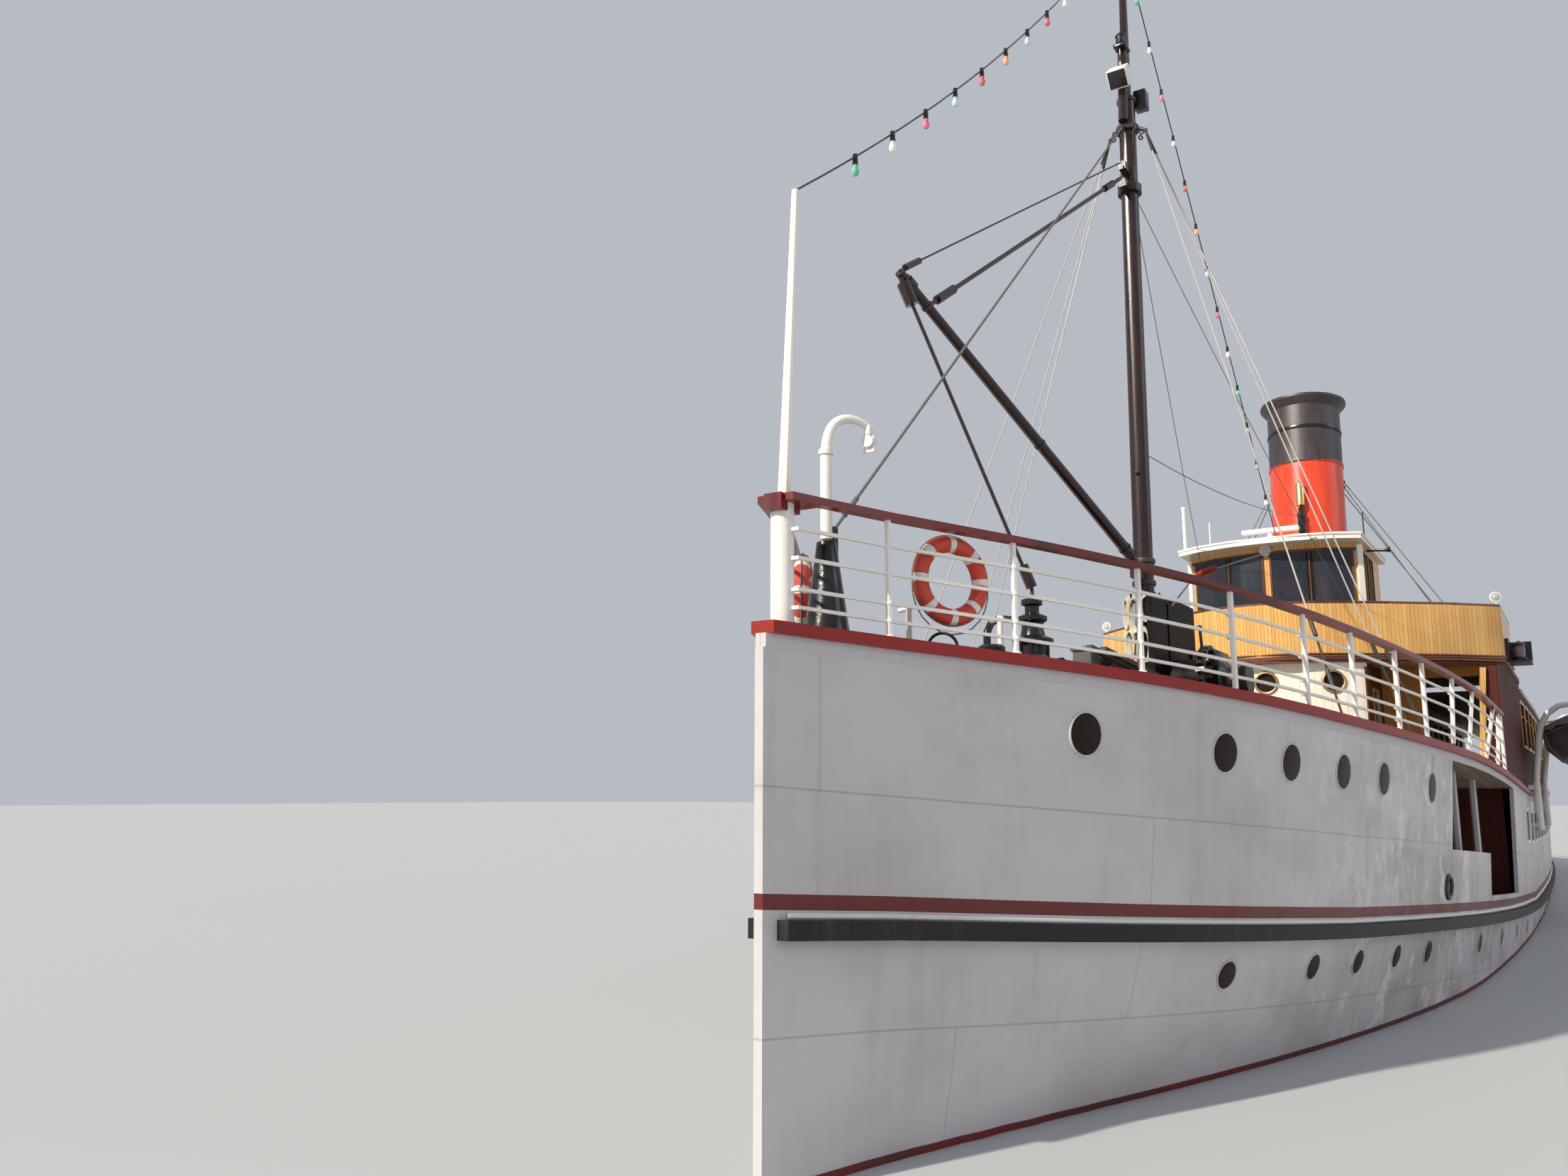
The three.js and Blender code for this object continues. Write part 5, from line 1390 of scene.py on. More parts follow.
@dataclass
class Window:
    """One glazed opening, by its corners in order round it and the way that it looks."""

    corners: Sequence[Vector]
    out: Vector
    bar: float = 0.055
    stand: float = 0.02
    sink: float = 0.035
    mullions: int = 0
    transom: float = 0.0

    def build(self, frames: Forge, panes: Forge) -> None:
        """Builds the window.

        Args:
            frames: the piece that takes the frame and the bars.
            panes: the piece that takes the glass.
        """
        centre = sum(self.corners, Vector()) / len(self.corners)
        for start, end in zip(self.corners, [*self.corners[1:], self.corners[0]]):
            reach = (end - start).normalized() * self.bar / 2
            inward = (centre - (start + end) / 2).normalized() * self.bar * 0.25
            lift = self.out * (self.stand / 2 - 0.004)
            low, high = start - reach - inward + lift, end + reach - inward + lift
            frames.beam(low, high, self.bar, self.stand, self.out)
        panes.pane([corner.lerp(centre, -0.01) - self.out * self.sink for corner in self.corners], self.out)
        low_fore, low_aft, high_aft, high_fore = self.corners
        for index in range(self.mullions):
            share = (index + 1) / (self.mullions + 1)
            low, high = low_fore.lerp(low_aft, share), high_fore.lerp(high_aft, share)
            frames.beam(low - self.out * self.sink, high - self.out * self.sink, 0.03, 0.04, self.out)
        if self.transom > 0:
            fore, aft = low_fore.lerp(high_fore, self.transom), low_aft.lerp(high_aft, self.transom)
            frames.beam(fore - self.out * self.sink, aft - self.out * self.sink, 0.03, 0.04, self.out)


@dataclass(frozen=True)
class WindowRow:
    """A row of equal windows, with the heights of their lower and upper edges."""

    first: float
    pitch: float
    width: float
    count: int
    low: float
    high: float

    def edges(self) -> list[tuple[float, float]]:
        """Lists the fore and aft edges of the windows."""
        starts = [self.first + index * self.pitch for index in range(self.count)]
        return [(start, start + self.width) for start in starts]


@dataclass
class Glazing:
    """Frames and glass of every window in the ship's sides and deckhouses."""

    nodes: dict[str, bpy.types.Object]
    side: WindowRow = WindowRow(20.5, 1.45, 0.9, 16, 0.98, 1.55)
    screen: WindowRow = WindowRow(22.6, 1.9, 1.5, 8, 3.6, 4.5)
    saloon: WindowRow = WindowRow(26.6, 1.4, 0.9, 7, 3.6, 4.4)
    saloon_half: float = 1.5
    house_windows: tuple[float, ...] = (17.1, 19.2, 21.8)
    house_width: float = 0.7
    house_range: tuple[float, float] = (3.8, 4.45)
    house_half: float = 1.62

    def build(self) -> None:
        """Makes the pieces."""
        panes = Forge()
        self.sides(panes)
        self.screens(panes)
        self.houses(panes)
        panes.finish("side_window_glass", WINDOW, "dark_panel")

    def on_side(self, side: ShipSide, sign: float, edges: tuple[float, float], low: float,
                high: float) -> Window:
        """Fits a window to the ship's side.

        Args:
            side: the solid that it is cut in.
            sign: 1 to port and -1 to starboard.
            edges: its fore and aft edges.
            low: its lower edge.
            high: its upper edge.

        Returns:
            The window.
        """
        corners = []
        for aft, up, reach in ((edges[0], low, -0.03), (edges[1], low, -0.03), (edges[1], high, 0.03),
                               (edges[0], high, 0.03)):
            hit, _ = side.out(aft, up + reach, sign)
            corners.append(Vector((hit.x, hit.y, up)))
        out = (corners[1] - corners[0]).cross(corners[3] - corners[0]).normalized()
        return Window(corners, out if out.y * sign > 0 else -out)

    def sides(self, panes: Forge) -> None:
        """Glazes the main deck's side walls, whose windows follow the deck's rise.

        Args:
            panes: the piece that takes the glass.
        """
        frames = Forge()
        for name, sign in SIDES:
            wall = ShipSide(self.nodes, f"main_side_wall_{name}")
            for edges in self.side.edges():
                deck = deck_line(sum(edges) / 2, 3)
                window = self.on_side(wall, sign, edges, deck + self.side.low, deck + self.side.high)
                window.mullions = 1
                window.build(frames, panes)
        frames.finish("side_wall_frames", WHITE, "white_paint")

    def screens(self, panes: Forge) -> None:
        """Glazes the promenade deck's side screens.

        Args:
            panes: the piece that takes the glass.
        """
        frames = Forge()
        for name, sign in SIDES:
            wall = ShipSide(self.nodes, f"side_screen_{name}")
            for edges in self.screen.edges():
                window = self.on_side(wall, sign, edges, self.screen.low, self.screen.high)
                window.mullions = 1
                window.transom = 0.72
                window.build(frames, panes)
        frames.finish("screen_frames", VARNISH, "varnish")

    def houses(self, panes: Forge) -> None:
        """Glazes the saloon and the house under the bridge.

        Args:
            panes: the piece that takes the glass.
        """
        frames = Forge()
        saloon = self.saloon
        rows = [(*edges, self.saloon_half, saloon.low, saloon.high) for edges in saloon.edges()]
        rows += [(fore, fore + self.house_width, self.house_half, *self.house_range)
                 for fore in self.house_windows]
        for fore, aft, half, low, high in rows:
            for _, sign in SIDES:
                spots = ((fore, low), (aft, low), (aft, high), (fore, high))
                corners = [place(s, half * sign, up) for s, up in spots]
                Window(corners, TO_PORT * sign).build(frames, panes)
        frames.finish("house_frames", VARNISH, "varnish")


@dataclass
class BridgeFittings:
    """Glass, frames and fittings of the wheelhouse, and trim round the bridge."""

    half: float = 1.55
    front: Pairs = ((17.45, 1.55), (17.1, 0.95), (16.9, 0.03), (16.9, 0.0))
    sill: float = 6.1
    head: float = 7.08
    end: float = 19.75
    rear_half: float = 1.1
    front_panes: Pairs = ((0.07, 0.68), (0.78, 1.42))
    side_panes: Pairs = ((17.6, 18.2), (18.28, 18.85))
    eaves: Pairs = ((17.0, 1.64), (16.74, 1.2), (16.58, 0.6), (16.54, 0.0))
    wings: Pairs = (
        (18.25, 3.66), (17.42, 2.87), (16.75, 2.05), (16.2, 1.3), (15.92, 0.85), (15.75, 0.4), (15.72, 0.0))
    wing_end: float = 21.0
    deck: float = 5.0
    rail: float = 5.94
    planks: float = 5.04
    roof: float = 7.36
    hub: Spot = (17.95, 0.0, 5.95)
    round_lamp: Spot = (16.86, 0.0, 7.13)
    wing_lamp: tuple[float, float] = (18.35, 3.6)
    sidelight: Spot = (18.95, 3.86, 5.03)
    port_red: Colour = (0.07, 0.004, 0.004)
    starboard_green: Colour = (0.004, 0.05, 0.02)

    def build(self) -> None:
        """Makes the pieces."""
        self.glass()
        self.bulwark_trim()
        self.inside()
        self.aloft()
        self.lamps()

    @staticmethod
    def reach(outline: Sequence[tuple[float, float]], half: float) -> float:
        """Reads an outline.

        Args:
            outline: rows of aft and half-breadth, from the widest in.
            half: a half-breadth.

        Returns:
            How far aft the outline stands there.
        """
        for outer, inner in zip(outline, outline[1:]):
            if half >= inner[1]:
                share = (half - inner[1]) / max(outer[1] - inner[1], SAME_SPOT)
                return inner[0] + (outer[0] - inner[0]) * share
        return outline[-1][0]

    def glass(self) -> None:
        """Makes the wheelhouse's panes, frames and posts."""
        frames, panes, posts, shade, bars = Forge(), Forge(), Forge(), Forge(), Forge()
        rise = UP * (self.head - self.sill)
        for _, sign in SIDES:
            inner, outer = self.front_panes[0][0], self.front_panes[1][1]
            folds = [inner, *[b for _, b in self.front if inner < b < outer], outer]
            for before, after in zip(folds, folds[1:]):
                low = [place(self.reach(self.front, b) - 0.008, sign * b, self.sill) for b in (before, after)]
                out = (low[1] - low[0]).cross(UP * sign).normalized()
                out = out if out.x > 0 else -out
                panes.pane([low[0], low[1], low[1] + rise, low[0] + rise], out)
            for b in (inner, outer):
                spot = place(self.reach(self.front, b) - 0.012, sign * b, self.sill)
                frames.beam(spot, spot + rise, 0.035, 0.04, AHEAD)
            thin = place(self.reach(self.front, 0.73) - 0.018, sign * 0.73, self.sill)
            # A strip in the dark glass finish hides the wide mullion: painted shade like the glass beside it,
            # with a thin bar in front.
            shade.beam(thin, thin + rise, 0.11, 0.012, Vector((1, sign * 0.22, 0)))
            bars.beam(thin + AHEAD * 0.012, thin + rise + AHEAD * 0.012, 0.022, 0.02, AHEAD)
            for fore, aft in self.side_panes:
                corners = [place(s, self.half * sign, up) for s, up in
                           ((fore, self.sill), (aft, self.sill), (aft, self.head), (fore, self.head))]
                Window(corners, TO_PORT * sign, 0.04).build(frames, panes)
            corner = place(17.42, sign * 1.535, self.sill)
            posts.beam(corner, corner + UP * (self.head - self.sill + 0.1), 0.11, 0.06,
                       Vector((0.75, sign * 0.66, 0)))
        spots = ((-1, self.sill), (1, self.sill), (1, self.head), (-1, self.head))
        rear = [place(self.end, way * self.rear_half, up) for way, up in spots]
        Window(rear, -AHEAD, 0.05, mullions=2).build(frames, panes)
        for up, wide in ((self.sill - 0.03, 0.05), (self.head + 0.02, 0.045), (self.deck + 0.1, 0.08)):
            for _, sign in SIDES:
                frames.strips(self.front[:-1], sign, up, (wide, 0.04), 0.3)
        frames.finish("wheelhouse_frames", TRIM, "varnish")
        shade.finish("wheelhouse_shade_strips", PAINTED_SHADE_GLASS, "varnish")
        bars.finish("wheelhouse_thin_bars", TRIM, "varnish")
        posts.finish("wheelhouse_posts", WHITE, "white_paint")
        panes.finish("wheelhouse_glass", WINDOW, "varnish")

    def edge(self, up: float, grow: float) -> list[Vector]:
        """Gives the bridge's outline from the port wing's end round to the starboard one.

        Args:
            up: height.
            grow: how far outside the bridge's own outline.

        Returns:
            The points in order.
        """
        port = [(self.wing_end, self.wings[0][1]), *self.wings[:-1]]
        whole = [place(aft, b, up) for aft, b in port]
        whole += [place(aft, -b, up) for aft, b in reversed(port)]
        grown = []
        for index, spot in enumerate(whole):
            ahead = whole[min(index + 1, len(whole) - 1)] - whole[max(index - 1, 0)]
            out = ahead.cross(UP).normalized()
            out = out if out.dot(spot - place(20.0, 0, up)) > 0 else -out
            grown.append(spot + out * grow)
        return grown

    def bulwark_trim(self) -> None:
        """Makes the bulwark's cap rail, lower moulding and the fascia under it."""
        trim, fascia = Forge(), Forge()
        trim.tube(self.edge(self.rail + 0.012, -0.03), 0.036, 8)
        trim.tube(self.edge(self.deck + 0.035, 0.012), 0.02, 8)
        fascia.tube(self.edge(self.deck - 0.05, 0.006), 0.022, 8)
        trim.finish("bulwark_rails", TRIM, "varnish")
        fascia.finish("bridge_fascia", TRIM, "red_brown")

    def inside(self) -> None:
        """Makes the wheel, the telegraphs, the binnacle and the chart shelf."""
        wheel, brass, wood = Forge(), Forge(), Forge()
        hub = place(*self.hub)
        wheel.ring(hub, AHEAD, 0.42, 0.03, 40, 8)
        for spoke in range(8):
            angle = math.radians(spoke * 45)
            out = Vector((0, math.cos(angle), math.sin(angle)))
            wheel.rod(hub, hub + out * 0.56, 0.018, 0.024, 8)
        wood.block(place(18.45, -0.14, self.planks), place(18.05, 0.14, 5.9), 0.02)
        wood.block(place(17.55, -0.3, self.planks), place(17.25, 0.3, 5.75), 0.03)
        brass.turned([(0.0, 0.0), (0.12, 0.0), (0.14, 0.05), (0.13, 0.12), (0.06, 0.2), (0.0, 0.22)],
                     place(17.4, 0.0, 5.75))
        brass.rod(hub - AHEAD * 0.1, hub + AHEAD * 0.06, 0.07, 0.05)
        for port in (-0.75, 0.75):
            spot = place(17.7, port, self.planks)
            brass.turned([(0.0, 0.0), (0.13, 0.0), (0.12, 0.03), (0.05, 0.08), (0.04, 0.75), (0.07, 0.8),
                          (0.0, 0.82)], spot)
            brass.knob([(0.15, -0.07), (0.16, 0.0), (0.15, 0.07)], spot + UP * 0.95, TO_PORT)
            brass.rod(spot + UP, spot + Vector((0.08, 0, 1.18)), 0.014)
        wood.block(place(19.6, -1.3, 5.9), place(19.25, 1.3, 5.96), 0.01)
        wheel.finish("steering_wheel", TRIM, "varnish")
        brass.finish("bridge_brass", BRASS, "brass")
        wood.finish("bridge_joinery", VARNISH, "varnish")

    def aloft(self) -> None:
        """Makes what stands on the wheelhouse roof."""
        white, dark, edge = Forge(), Forge(), Forge()
        white.knob([(0.10, -0.02), (0.09, 0.04), (0.05, 0.06), (0.045, 0.21)], place(17.3, 0.02, self.roof))
        white.block(place(17.38, -0.5, self.roof + 0.2), place(17.22, 0.55, self.roof + 0.29), 0.03)
        white.rod(place(16.97, -1.5, 7.33), place(16.97, -1.5, 8.13), 0.035)
        white.ball(place(16.97, -1.5, 8.15), 0.05)
        white.rod(place(17.3, -1.1, self.roof), place(17.3, -1.1, 7.9), 0.012)
        dark.rod(place(18.9, 1.45, self.roof), place(18.9, 1.45, 8.1), 0.012)
        dark.rod(place(18.3, 1.5, 7.2), place(18.3, 1.78, 7.19), 0.018)
        dark.turned([(0.0, 0.0), (0.025, 0.0), (0.03, 0.1), (0.055, 0.2), (0.0, 0.18)],
                    place(18.3, 1.76, 7.19), TO_PORT)
        plan = [(20.1, 1.64), *self.eaves[:-1]]
        rim = [place(aft, b, 7.315) for aft, b in plan] + [place(aft, -b, 7.315) for aft, b in reversed(plan)]
        edge.tube(rim, 0.026, 8)
        white.finish("wheelhouse_roof_fittings", WHITE, "white_paint")
        dark.finish("wheelhouse_horn", BLACK, "black_paint")
        edge.finish("wheelhouse_roof_edge", WHITE, "white_paint")

    def lamps(self) -> None:
        """Makes the round lamp over the front, the wing lamps and the sidelights."""
        metal, glass = Forge(), Forge()
        spot = place(*self.round_lamp)
        metal.knob([(0.09, -0.05), (0.1, 0.03), (0.085, 0.05)], spot, AHEAD)
        glass.turned([(0.0, 0.045), (0.075, 0.04), (0.06, 0.07), (0.0, 0.085)], spot, AHEAD)
        for _, sign in SIDES:
            aft, half = self.wing_lamp
            foot = place(aft, sign * half, self.rail)
            metal.rod(foot, foot + UP * 0.1, 0.02)
            metal.ring(foot + UP * 0.19, Vector((0.9, 0.1 * sign, 0)), 0.085, 0.018, 20, 6)
            glass.ball(foot + UP * 0.19, 0.07, (0.5, 1, 1), 14)
        metal.finish("bridge_lamp_rims", WHITE, "white_paint")
        glass.finish("bridge_lamp_glass", LAMP_PANE, "white_paint")
        aft, half, up = self.sidelight
        for (name, sign), colour in zip(SIDES, (self.port_red, self.starboard_green)):
            lamp, frame = Forge(), Forge()
            spot = place(aft, sign * half, up)
            frame.knob([(0.12, 0.0), (0.12, 0.03), (0.1, 0.05)], spot)
            frame.turned([(0.0, 0.25), (0.11, 0.25), (0.1, 0.29), (0.03, 0.34), (0.0, 0.35)], spot)
            lamp.knob([(0.095, 0.05), (0.1, 0.15), (0.095, 0.25)], spot)
            lamp.finish(f"sidelight_lens_{name}", LampGlass(f"lens_{name}", colour), "brass")
            frame.finish(f"sidelight_cage_{name}", BLACK, "brass")


@dataclass
class HouseFittings:
    """Rims, mouldings, handles and posts of the houses on the promenade deck."""

    ports: tuple[float, ...] = (0.05, 1.12, -1.05)
    port_up: float = 4.565
    port_radius: float = 0.17
    front: Pairs = (
        (16.55, 1.62), (16.3, 1.3), (16.12, 0.9), (15.98, 0.45), (15.95, 0.0))

    def build(self) -> None:
        """Makes the pieces."""
        rims, glass, white, dark, brass = Forge(), Forge(), Forge(), Forge(), Forge()
        for b in self.ports:
            aft = BridgeFittings.reach(self.front, abs(b))
            outer, inner = [BridgeFittings.reach(self.front, abs(b) + step) for step in (0.1, -0.1)]
            way = Vector((1, math.copysign((outer - inner) / 0.2, b), 0)).normalized()
            spot = place(aft, b, self.port_up)
            rims.ring(spot + way * 0.01, way, self.port_radius + 0.015, 0.026, 32, 8)
            # Opaque glass whose dark finish is painted shade of the unlit inside.
            glass.knob([(self.port_radius, -0.03), (self.port_radius, -0.045)], spot, way)
        for _, sign in SIDES:
            for up, rise in ((4.86, 0.07), (3.0, 0.1)):
                white.strips(self.front, sign, up, (rise, 0.03), 0.4)
            post = place(16.57, sign * 1.6, 2.95)
            dark.beam(post, post + UP * 1.93, 0.1, 0.06, Vector((0.4, sign, 0)))
            for aft in (18.4, 20.3, 21.3, 22.75):
                foot = place(aft, sign * 1.628, 2.9)
                dark.beam(foot, foot + UP * 1.95, 0.07, 0.03, TO_PORT * sign)
            for aft, half, up in ((21.08, 1.62, 3.75), (19.06, 1.55, 6.0)):
                spot = place(aft, sign * (half + 0.03), up)
                brass.ball(spot + TO_PORT * (sign * 0.03), 0.035)
                brass.lump(spot, (0.03, 0.012, 0.09), 0.008)
        rims.finish("house_port_rims", BRONZE, "bronze")
        glass.finish("house_port_glass", PAINTED_SHADE_GLASS, "white_paint")
        white.finish("house_mouldings", WHITE, "white_paint")
        dark.finish("house_posts", TRIM, "varnish")
        brass.finish("house_plates", BRASS, "brass")


@dataclass
class FunnelFittings:
    """Hoops, guys, ladder, whistle and steam pipe of the funnel."""

    aft: float = 21.9
    top: float = 11.35
    radius: float = 0.76
    rake: float = 5.0
    # Each guy's foot: aft, half-breadth and height. Its head: height, place ahead and share of the radius.
    guys: tuple[tuple[float, ...], ...] = (
        (22.2, 3.42, 5.02, 9.45, -0.1, 0.98), (22.6, 3.1, 5.02, 9.33, -0.1, 0.98),
        (25.6, 3.3, 4.84, 9.45, -0.5, 0.76))
    ladder_half: float = 0.17
    rung_first: float = 6.0
    rung_pitch: float = 0.3
    rung_count: int = 14

    def axis(self, up: float, ahead: float = 0.0, port: float = 0.0) -> Vector:
        """Gives a point beside the funnel's centreline."""
        return place(self.aft - (self.top - up) * math.tan(math.radians(self.rake)) - ahead, port, up)

    def build(self) -> None:
        """Makes the pieces."""
        red, black, guys, brass = Forge(), Forge(), Forge(), Forge()
        way = (self.axis(11.0) - self.axis(6.0)).normalized()
        for up, forge in ((8.0, red), (9.82, red), (10.6, black), (6.2, red)):
            forge.hoop(self.axis(up), way, self.radius + 0.016, 0.035, 0.006, 0.042, 64)
        for aft, port, low, high, ahead, share in self.guys:
            for _, sign in SIDES:
                start, end = self.axis(high, ahead, sign * self.radius * share), place(aft, sign * port, low)
                guys.tube([start, end], 0.011, 6)
                guys.rod(start.lerp(end, 0.93), start.lerp(end, 0.98), 0.026)
                black.ball(start, 0.035)
        ladder = -self.radius - 0.1
        for step in range(self.rung_count):
            up = self.rung_first + step * self.rung_pitch
            start, end = [self.axis(up, ladder, port) for port in (-self.ladder_half, self.ladder_half)]
            black.rod(start, end, 0.012)
        for port in (-self.ladder_half, self.ladder_half):
            black.rod(self.axis(5.8, ladder, port), self.axis(10.1, ladder, port), 0.018)
        for up in (6.4, 7.6, 8.7):
            brass.beam(self.axis(up, self.radius - 0.02), self.axis(up, self.radius + 0.12), 0.05, 0.05, UP)
        bell = self.axis(8.8, self.radius + 0.12)
        brass.turned([(0.0, 0.0), (0.088, 0.0), (0.088, 0.45), (0.078, 0.5), (0.04, 0.54), (0.02, 0.56),
                      (0.022, 0.6), (0.0, 0.61)], bell, way, 28)
        black.knob([(0.05, -0.14), (0.055, -0.05), (0.02, -0.04), (0.02, 0.0)], bell, way, 20)
        black.knob([(0.065, -0.62), (0.075, -0.56), (0.07, -0.3), (0.085, -0.26), (0.085, -0.2),
                    (0.05, -0.14)], bell, way, 24)
        black.rod(self.axis(8.2, self.radius + 0.11), self.axis(5.64, self.radius + 0.11), 0.042, sides=16)
        black.rod(bell + Vector((0.0, 0, -0.3)), bell + Vector((0.26, 0, -0.22)), 0.014)
        red.finish("funnel_hoops", FUNNEL, "funnel_red")
        black.finish("funnel_ironwork", BLACK, "black_paint")
        guys.finish("funnel_guys", WIRE_ROPE, "wire")
        brass.finish("whistle_bell", BRASS, "brass", replaces=["steam_whistle"])


@dataclass
class ForedeckFittings:
    """Bollards, ring bolts, davit arm, capstan drum, bent vent pipe, gear box and winch parts."""

    deck: ShipSide
    davit_tip: Spot = (1.235, 0.21, 5.45)
    davit_aft: float = 0.915
    capstan_aft: float = 5.08
    capstan_base: float = 3.53
    drum_foot: float = 3.574
    winch_aft: float = 7.95
    winch_up: float = 3.95
    gear_port: float = 1.06
    gear_radius: float = 0.385
    gear_teeth: int = 26

    def build(self) -> None:
        """Makes the pieces."""
        black, white, hook = Forge(), Forge(), Forge()
        for _, sign in SIDES:
            self.bollards(black, sign)
        for aft, port in ((1.95, 0.47), (1.95, -0.47), (6.2, 1.3), (6.2, -1.3)):
            spot = self.deck.down(aft, port, 4.2)
            black.ring(spot + UP * 0.15, Vector((1, 0.6, 0)), 0.12, 0.013, 28, 8)
            black.block(spot - Vector((0.09, 0.09, 0.0)), spot + Vector((0.09, 0.09, 0.02)), 0.006)
        self.capstan(black)
        self.winch(black)
        for aft, port in ((1.75, 0.27), (2.45, 0.76), (2.45, -0.76)):
            spot = self.deck.down(aft, port, 4.4)
            white.rod(spot, spot + UP * 0.48, 0.024)
            white.rod(spot + Vector((0, -0.09, 0.44)), spot + Vector((0, 0.03, 0.46)), 0.02)
        arm = [(0.915, 0.0, 5.2), (0.925, 0.006, 5.33), (0.955, 0.025, 5.44), (1.01, 0.065, 5.51),
               (1.085, 0.118, 5.535), (1.165, 0.17, 5.52), (1.25, 0.22, 5.475)]
        bend = Forge.curve([place(*spot) for spot in arm])
        hook.tube([place(self.davit_aft, 0, 4.545), *bend], 0.047, 16, 0.03)
        hook.knob([(0.058, -0.02), (0.058, 0.02)], place(self.davit_aft, 0, 5.24))
        tip = place(*self.davit_tip)
        hook.block(tip - Vector((0.045, 0.03, 0.03)), tip + Vector((0.045, 0.03, 0.05)), 0.012)
        for shift in (-0.028, 0.028):
            hook.knob([(0.05, -0.01), (0.05, 0.01)], tip + Vector((shift, 0, -0.08)), AHEAD, 20)
        hook.block(tip - Vector((0.012, 0.05, 0.17)), tip + Vector((0.012, 0.05, -0.03)), 0.006)
        black.finish("foredeck_ironwork", BLACK, "black_paint")
        white.finish("foredeck_stands", WHITE, "white_paint")
        hook.finish("davit_arm", WHITE, "white_paint", "davit", ["anchor_davit"])
        self.drum()
        self.pipe()
        self.crate()

    def drum(self) -> None:
        """Makes the capstan's drum with its flanges."""
        drum = Forge()
        rows = [(0.0, 0.0), (0.27, 0.0), (0.27, 0.06), (0.2, 0.09), (0.165, 0.13), (0.155, 0.25),
                (0.235, 0.29), (0.238, 0.32), (0.17, 0.36), (0.145, 0.45), (0.15, 0.56), (0.215, 0.6),
                (0.215, 0.63), (0.13, 0.67), (0.115, 0.74), (0.115, 0.8), (0.155, 0.83), (0.155, 0.87),
                (0.075, 0.91), (0.075, 0.98), (0.112, 1.0), (0.112, 1.05), (0.09, 1.06), (0.0, 1.06)]
        foot = place(self.capstan_aft, 0.0, self.drum_foot)
        drum.turned(rows, foot, UP, 40)
        for whelp in range(8):
            out = compass(whelp * 45 + 10)
            drum.beam(foot + out * 0.15 + UP * 0.36, foot + out * 0.155 + UP * 0.6, 0.04, 0.03, out)
        drum.finish("capstan_whelps", BLACK, "black_paint", "capstan", ["capstan_drum"])

    @staticmethod
    def pipe() -> None:
        """Makes the bent vent pipe ahead of the capstan."""
        pipe = Forge()
        path = [(3.72, 0.08, 3.5), (3.72, 0.08, 4.06), (3.735, 0.088, 4.15), (3.79, 0.11, 4.23),
                (3.88, 0.155, 4.265), (3.98, 0.2, 4.27), (4.07, 0.245, 4.262)]
        pipe.tube(Forge.curve([place(*spot) for spot in path]), 0.036, 14)
        pipe.knob([(0.075, -0.01), (0.07, 0.03), (0.045, 0.04)], place(3.72, 0.08, 3.53))
        pipe.finish("bent_vent_pipe", BLACK, "black_paint", replaces=["swan_neck_vent"])

    @staticmethod
    def crate() -> None:
        """Makes the grey gear box ahead of the winch, with two bars leaning on it."""
        crate, bars = Forge(), Forge()
        crate.block(place(6.6, -0.02, 3.3), place(6.3, 0.2, 4.2), 0.015)
        crate.block(place(6.62, -0.04, 4.2), place(6.28, 0.22, 4.25), 0.01)
        for port in (0.14, 0.3):
            bars.beam(place(6.4, port, 4.28 - port * 0.2), place(7.38, port + 0.3, 4.04 - port * 0.2), 0.08,
                      0.05, UP)
        crate.finish("gear_box", SLATE, "grey_paint")
        bars.finish("leaning_bars", IRON, "black_paint")

    def bollards(self, forge: Forge, sign: float) -> None:
        """Adds a pair of bollards on a base.

        Args:
            forge: the piece that takes it.
            sign: 1 to port and -1 to starboard.
        """
        low, high = self.deck.down(2.35, sign * 0.72, 4.2), self.deck.down(2.95, sign * 0.86, 4.2)
        forge.beam(low + Vector((0.15, 0, 0.02)), high - Vector((0.15, 0, -0.02)), 0.24, 0.05, UP)
        for spot in (low, high):
            forge.turned([(0.0, 0.0), (0.1, 0.0), (0.09, 0.05), (0.085, 0.13), (0.115, 0.17), (0.115, 0.2),
                          (0.09, 0.22), (0.0, 0.225)], spot, UP, 20)

    def capstan(self, forge: Forge) -> None:
        """Adds the deck bolts round the capstan's base.

        Args:
            forge: the piece that takes them.
        """
        spot = place(self.capstan_aft, 0.0, self.capstan_base)
        for bolt in range(10):
            foot = spot + compass(bolt * 36 + 9) * 0.32
            forge.rod(foot, foot + UP * 0.05, 0.018, sides=6)

    def winch(self, forge: Forge) -> None:
        """Adds warping ends, gear teeth, a brake handle and an oil cup to the cargo winch.

        Args:
            forge: the piece that takes all but the cup.
        """
        for port in (-0.98, 1.24):
            way = TO_PORT * math.copysign(1, port)
            forge.knob([(0.22, -0.02), (0.22, 0.0), (0.15, 0.05), (0.14, 0.18), (0.2, 0.26), (0.21, 0.29)],
                       place(self.winch_aft, port, self.winch_up), way, 28)
        for tooth in range(self.gear_teeth):
            angle = math.radians(tooth * 360 / self.gear_teeth)
            out = Vector((math.cos(angle), 0, math.sin(angle)))
            spot = place(self.winch_aft, self.gear_port, self.winch_up) + out * self.gear_radius
            forge.beam(spot - TO_PORT * 0.05, spot + TO_PORT * 0.05, 0.05, 0.05, out)
        forge.rod(place(7.6, 1.1, 4.0), place(7.5, 1.1, 4.5), 0.018)
        forge.ball(place(7.49, 1.1, 4.52), 0.035)
        forge.block(place(8.75, 0.76, 4.08), place(8.2, 1.12, 4.34), 0.03)
        for bolt in range(6):
            forge.rod(place(7.5 + bolt * 0.35, 1.2, 3.56), place(7.5 + bolt * 0.35, 1.225, 3.56), 0.025,
                      sides=6)
        cup = Forge()
        cup.turned([(0.0, 0.0), (0.05, 0.0), (0.055, 0.06), (0.09, 0.1), (0.095, 0.17), (0.06, 0.22),
                    (0.0, 0.23)], place(8.05, 0.95, 4.09), UP, 20)
        cup.finish("winch_oil_cup", BRASS, "brass")


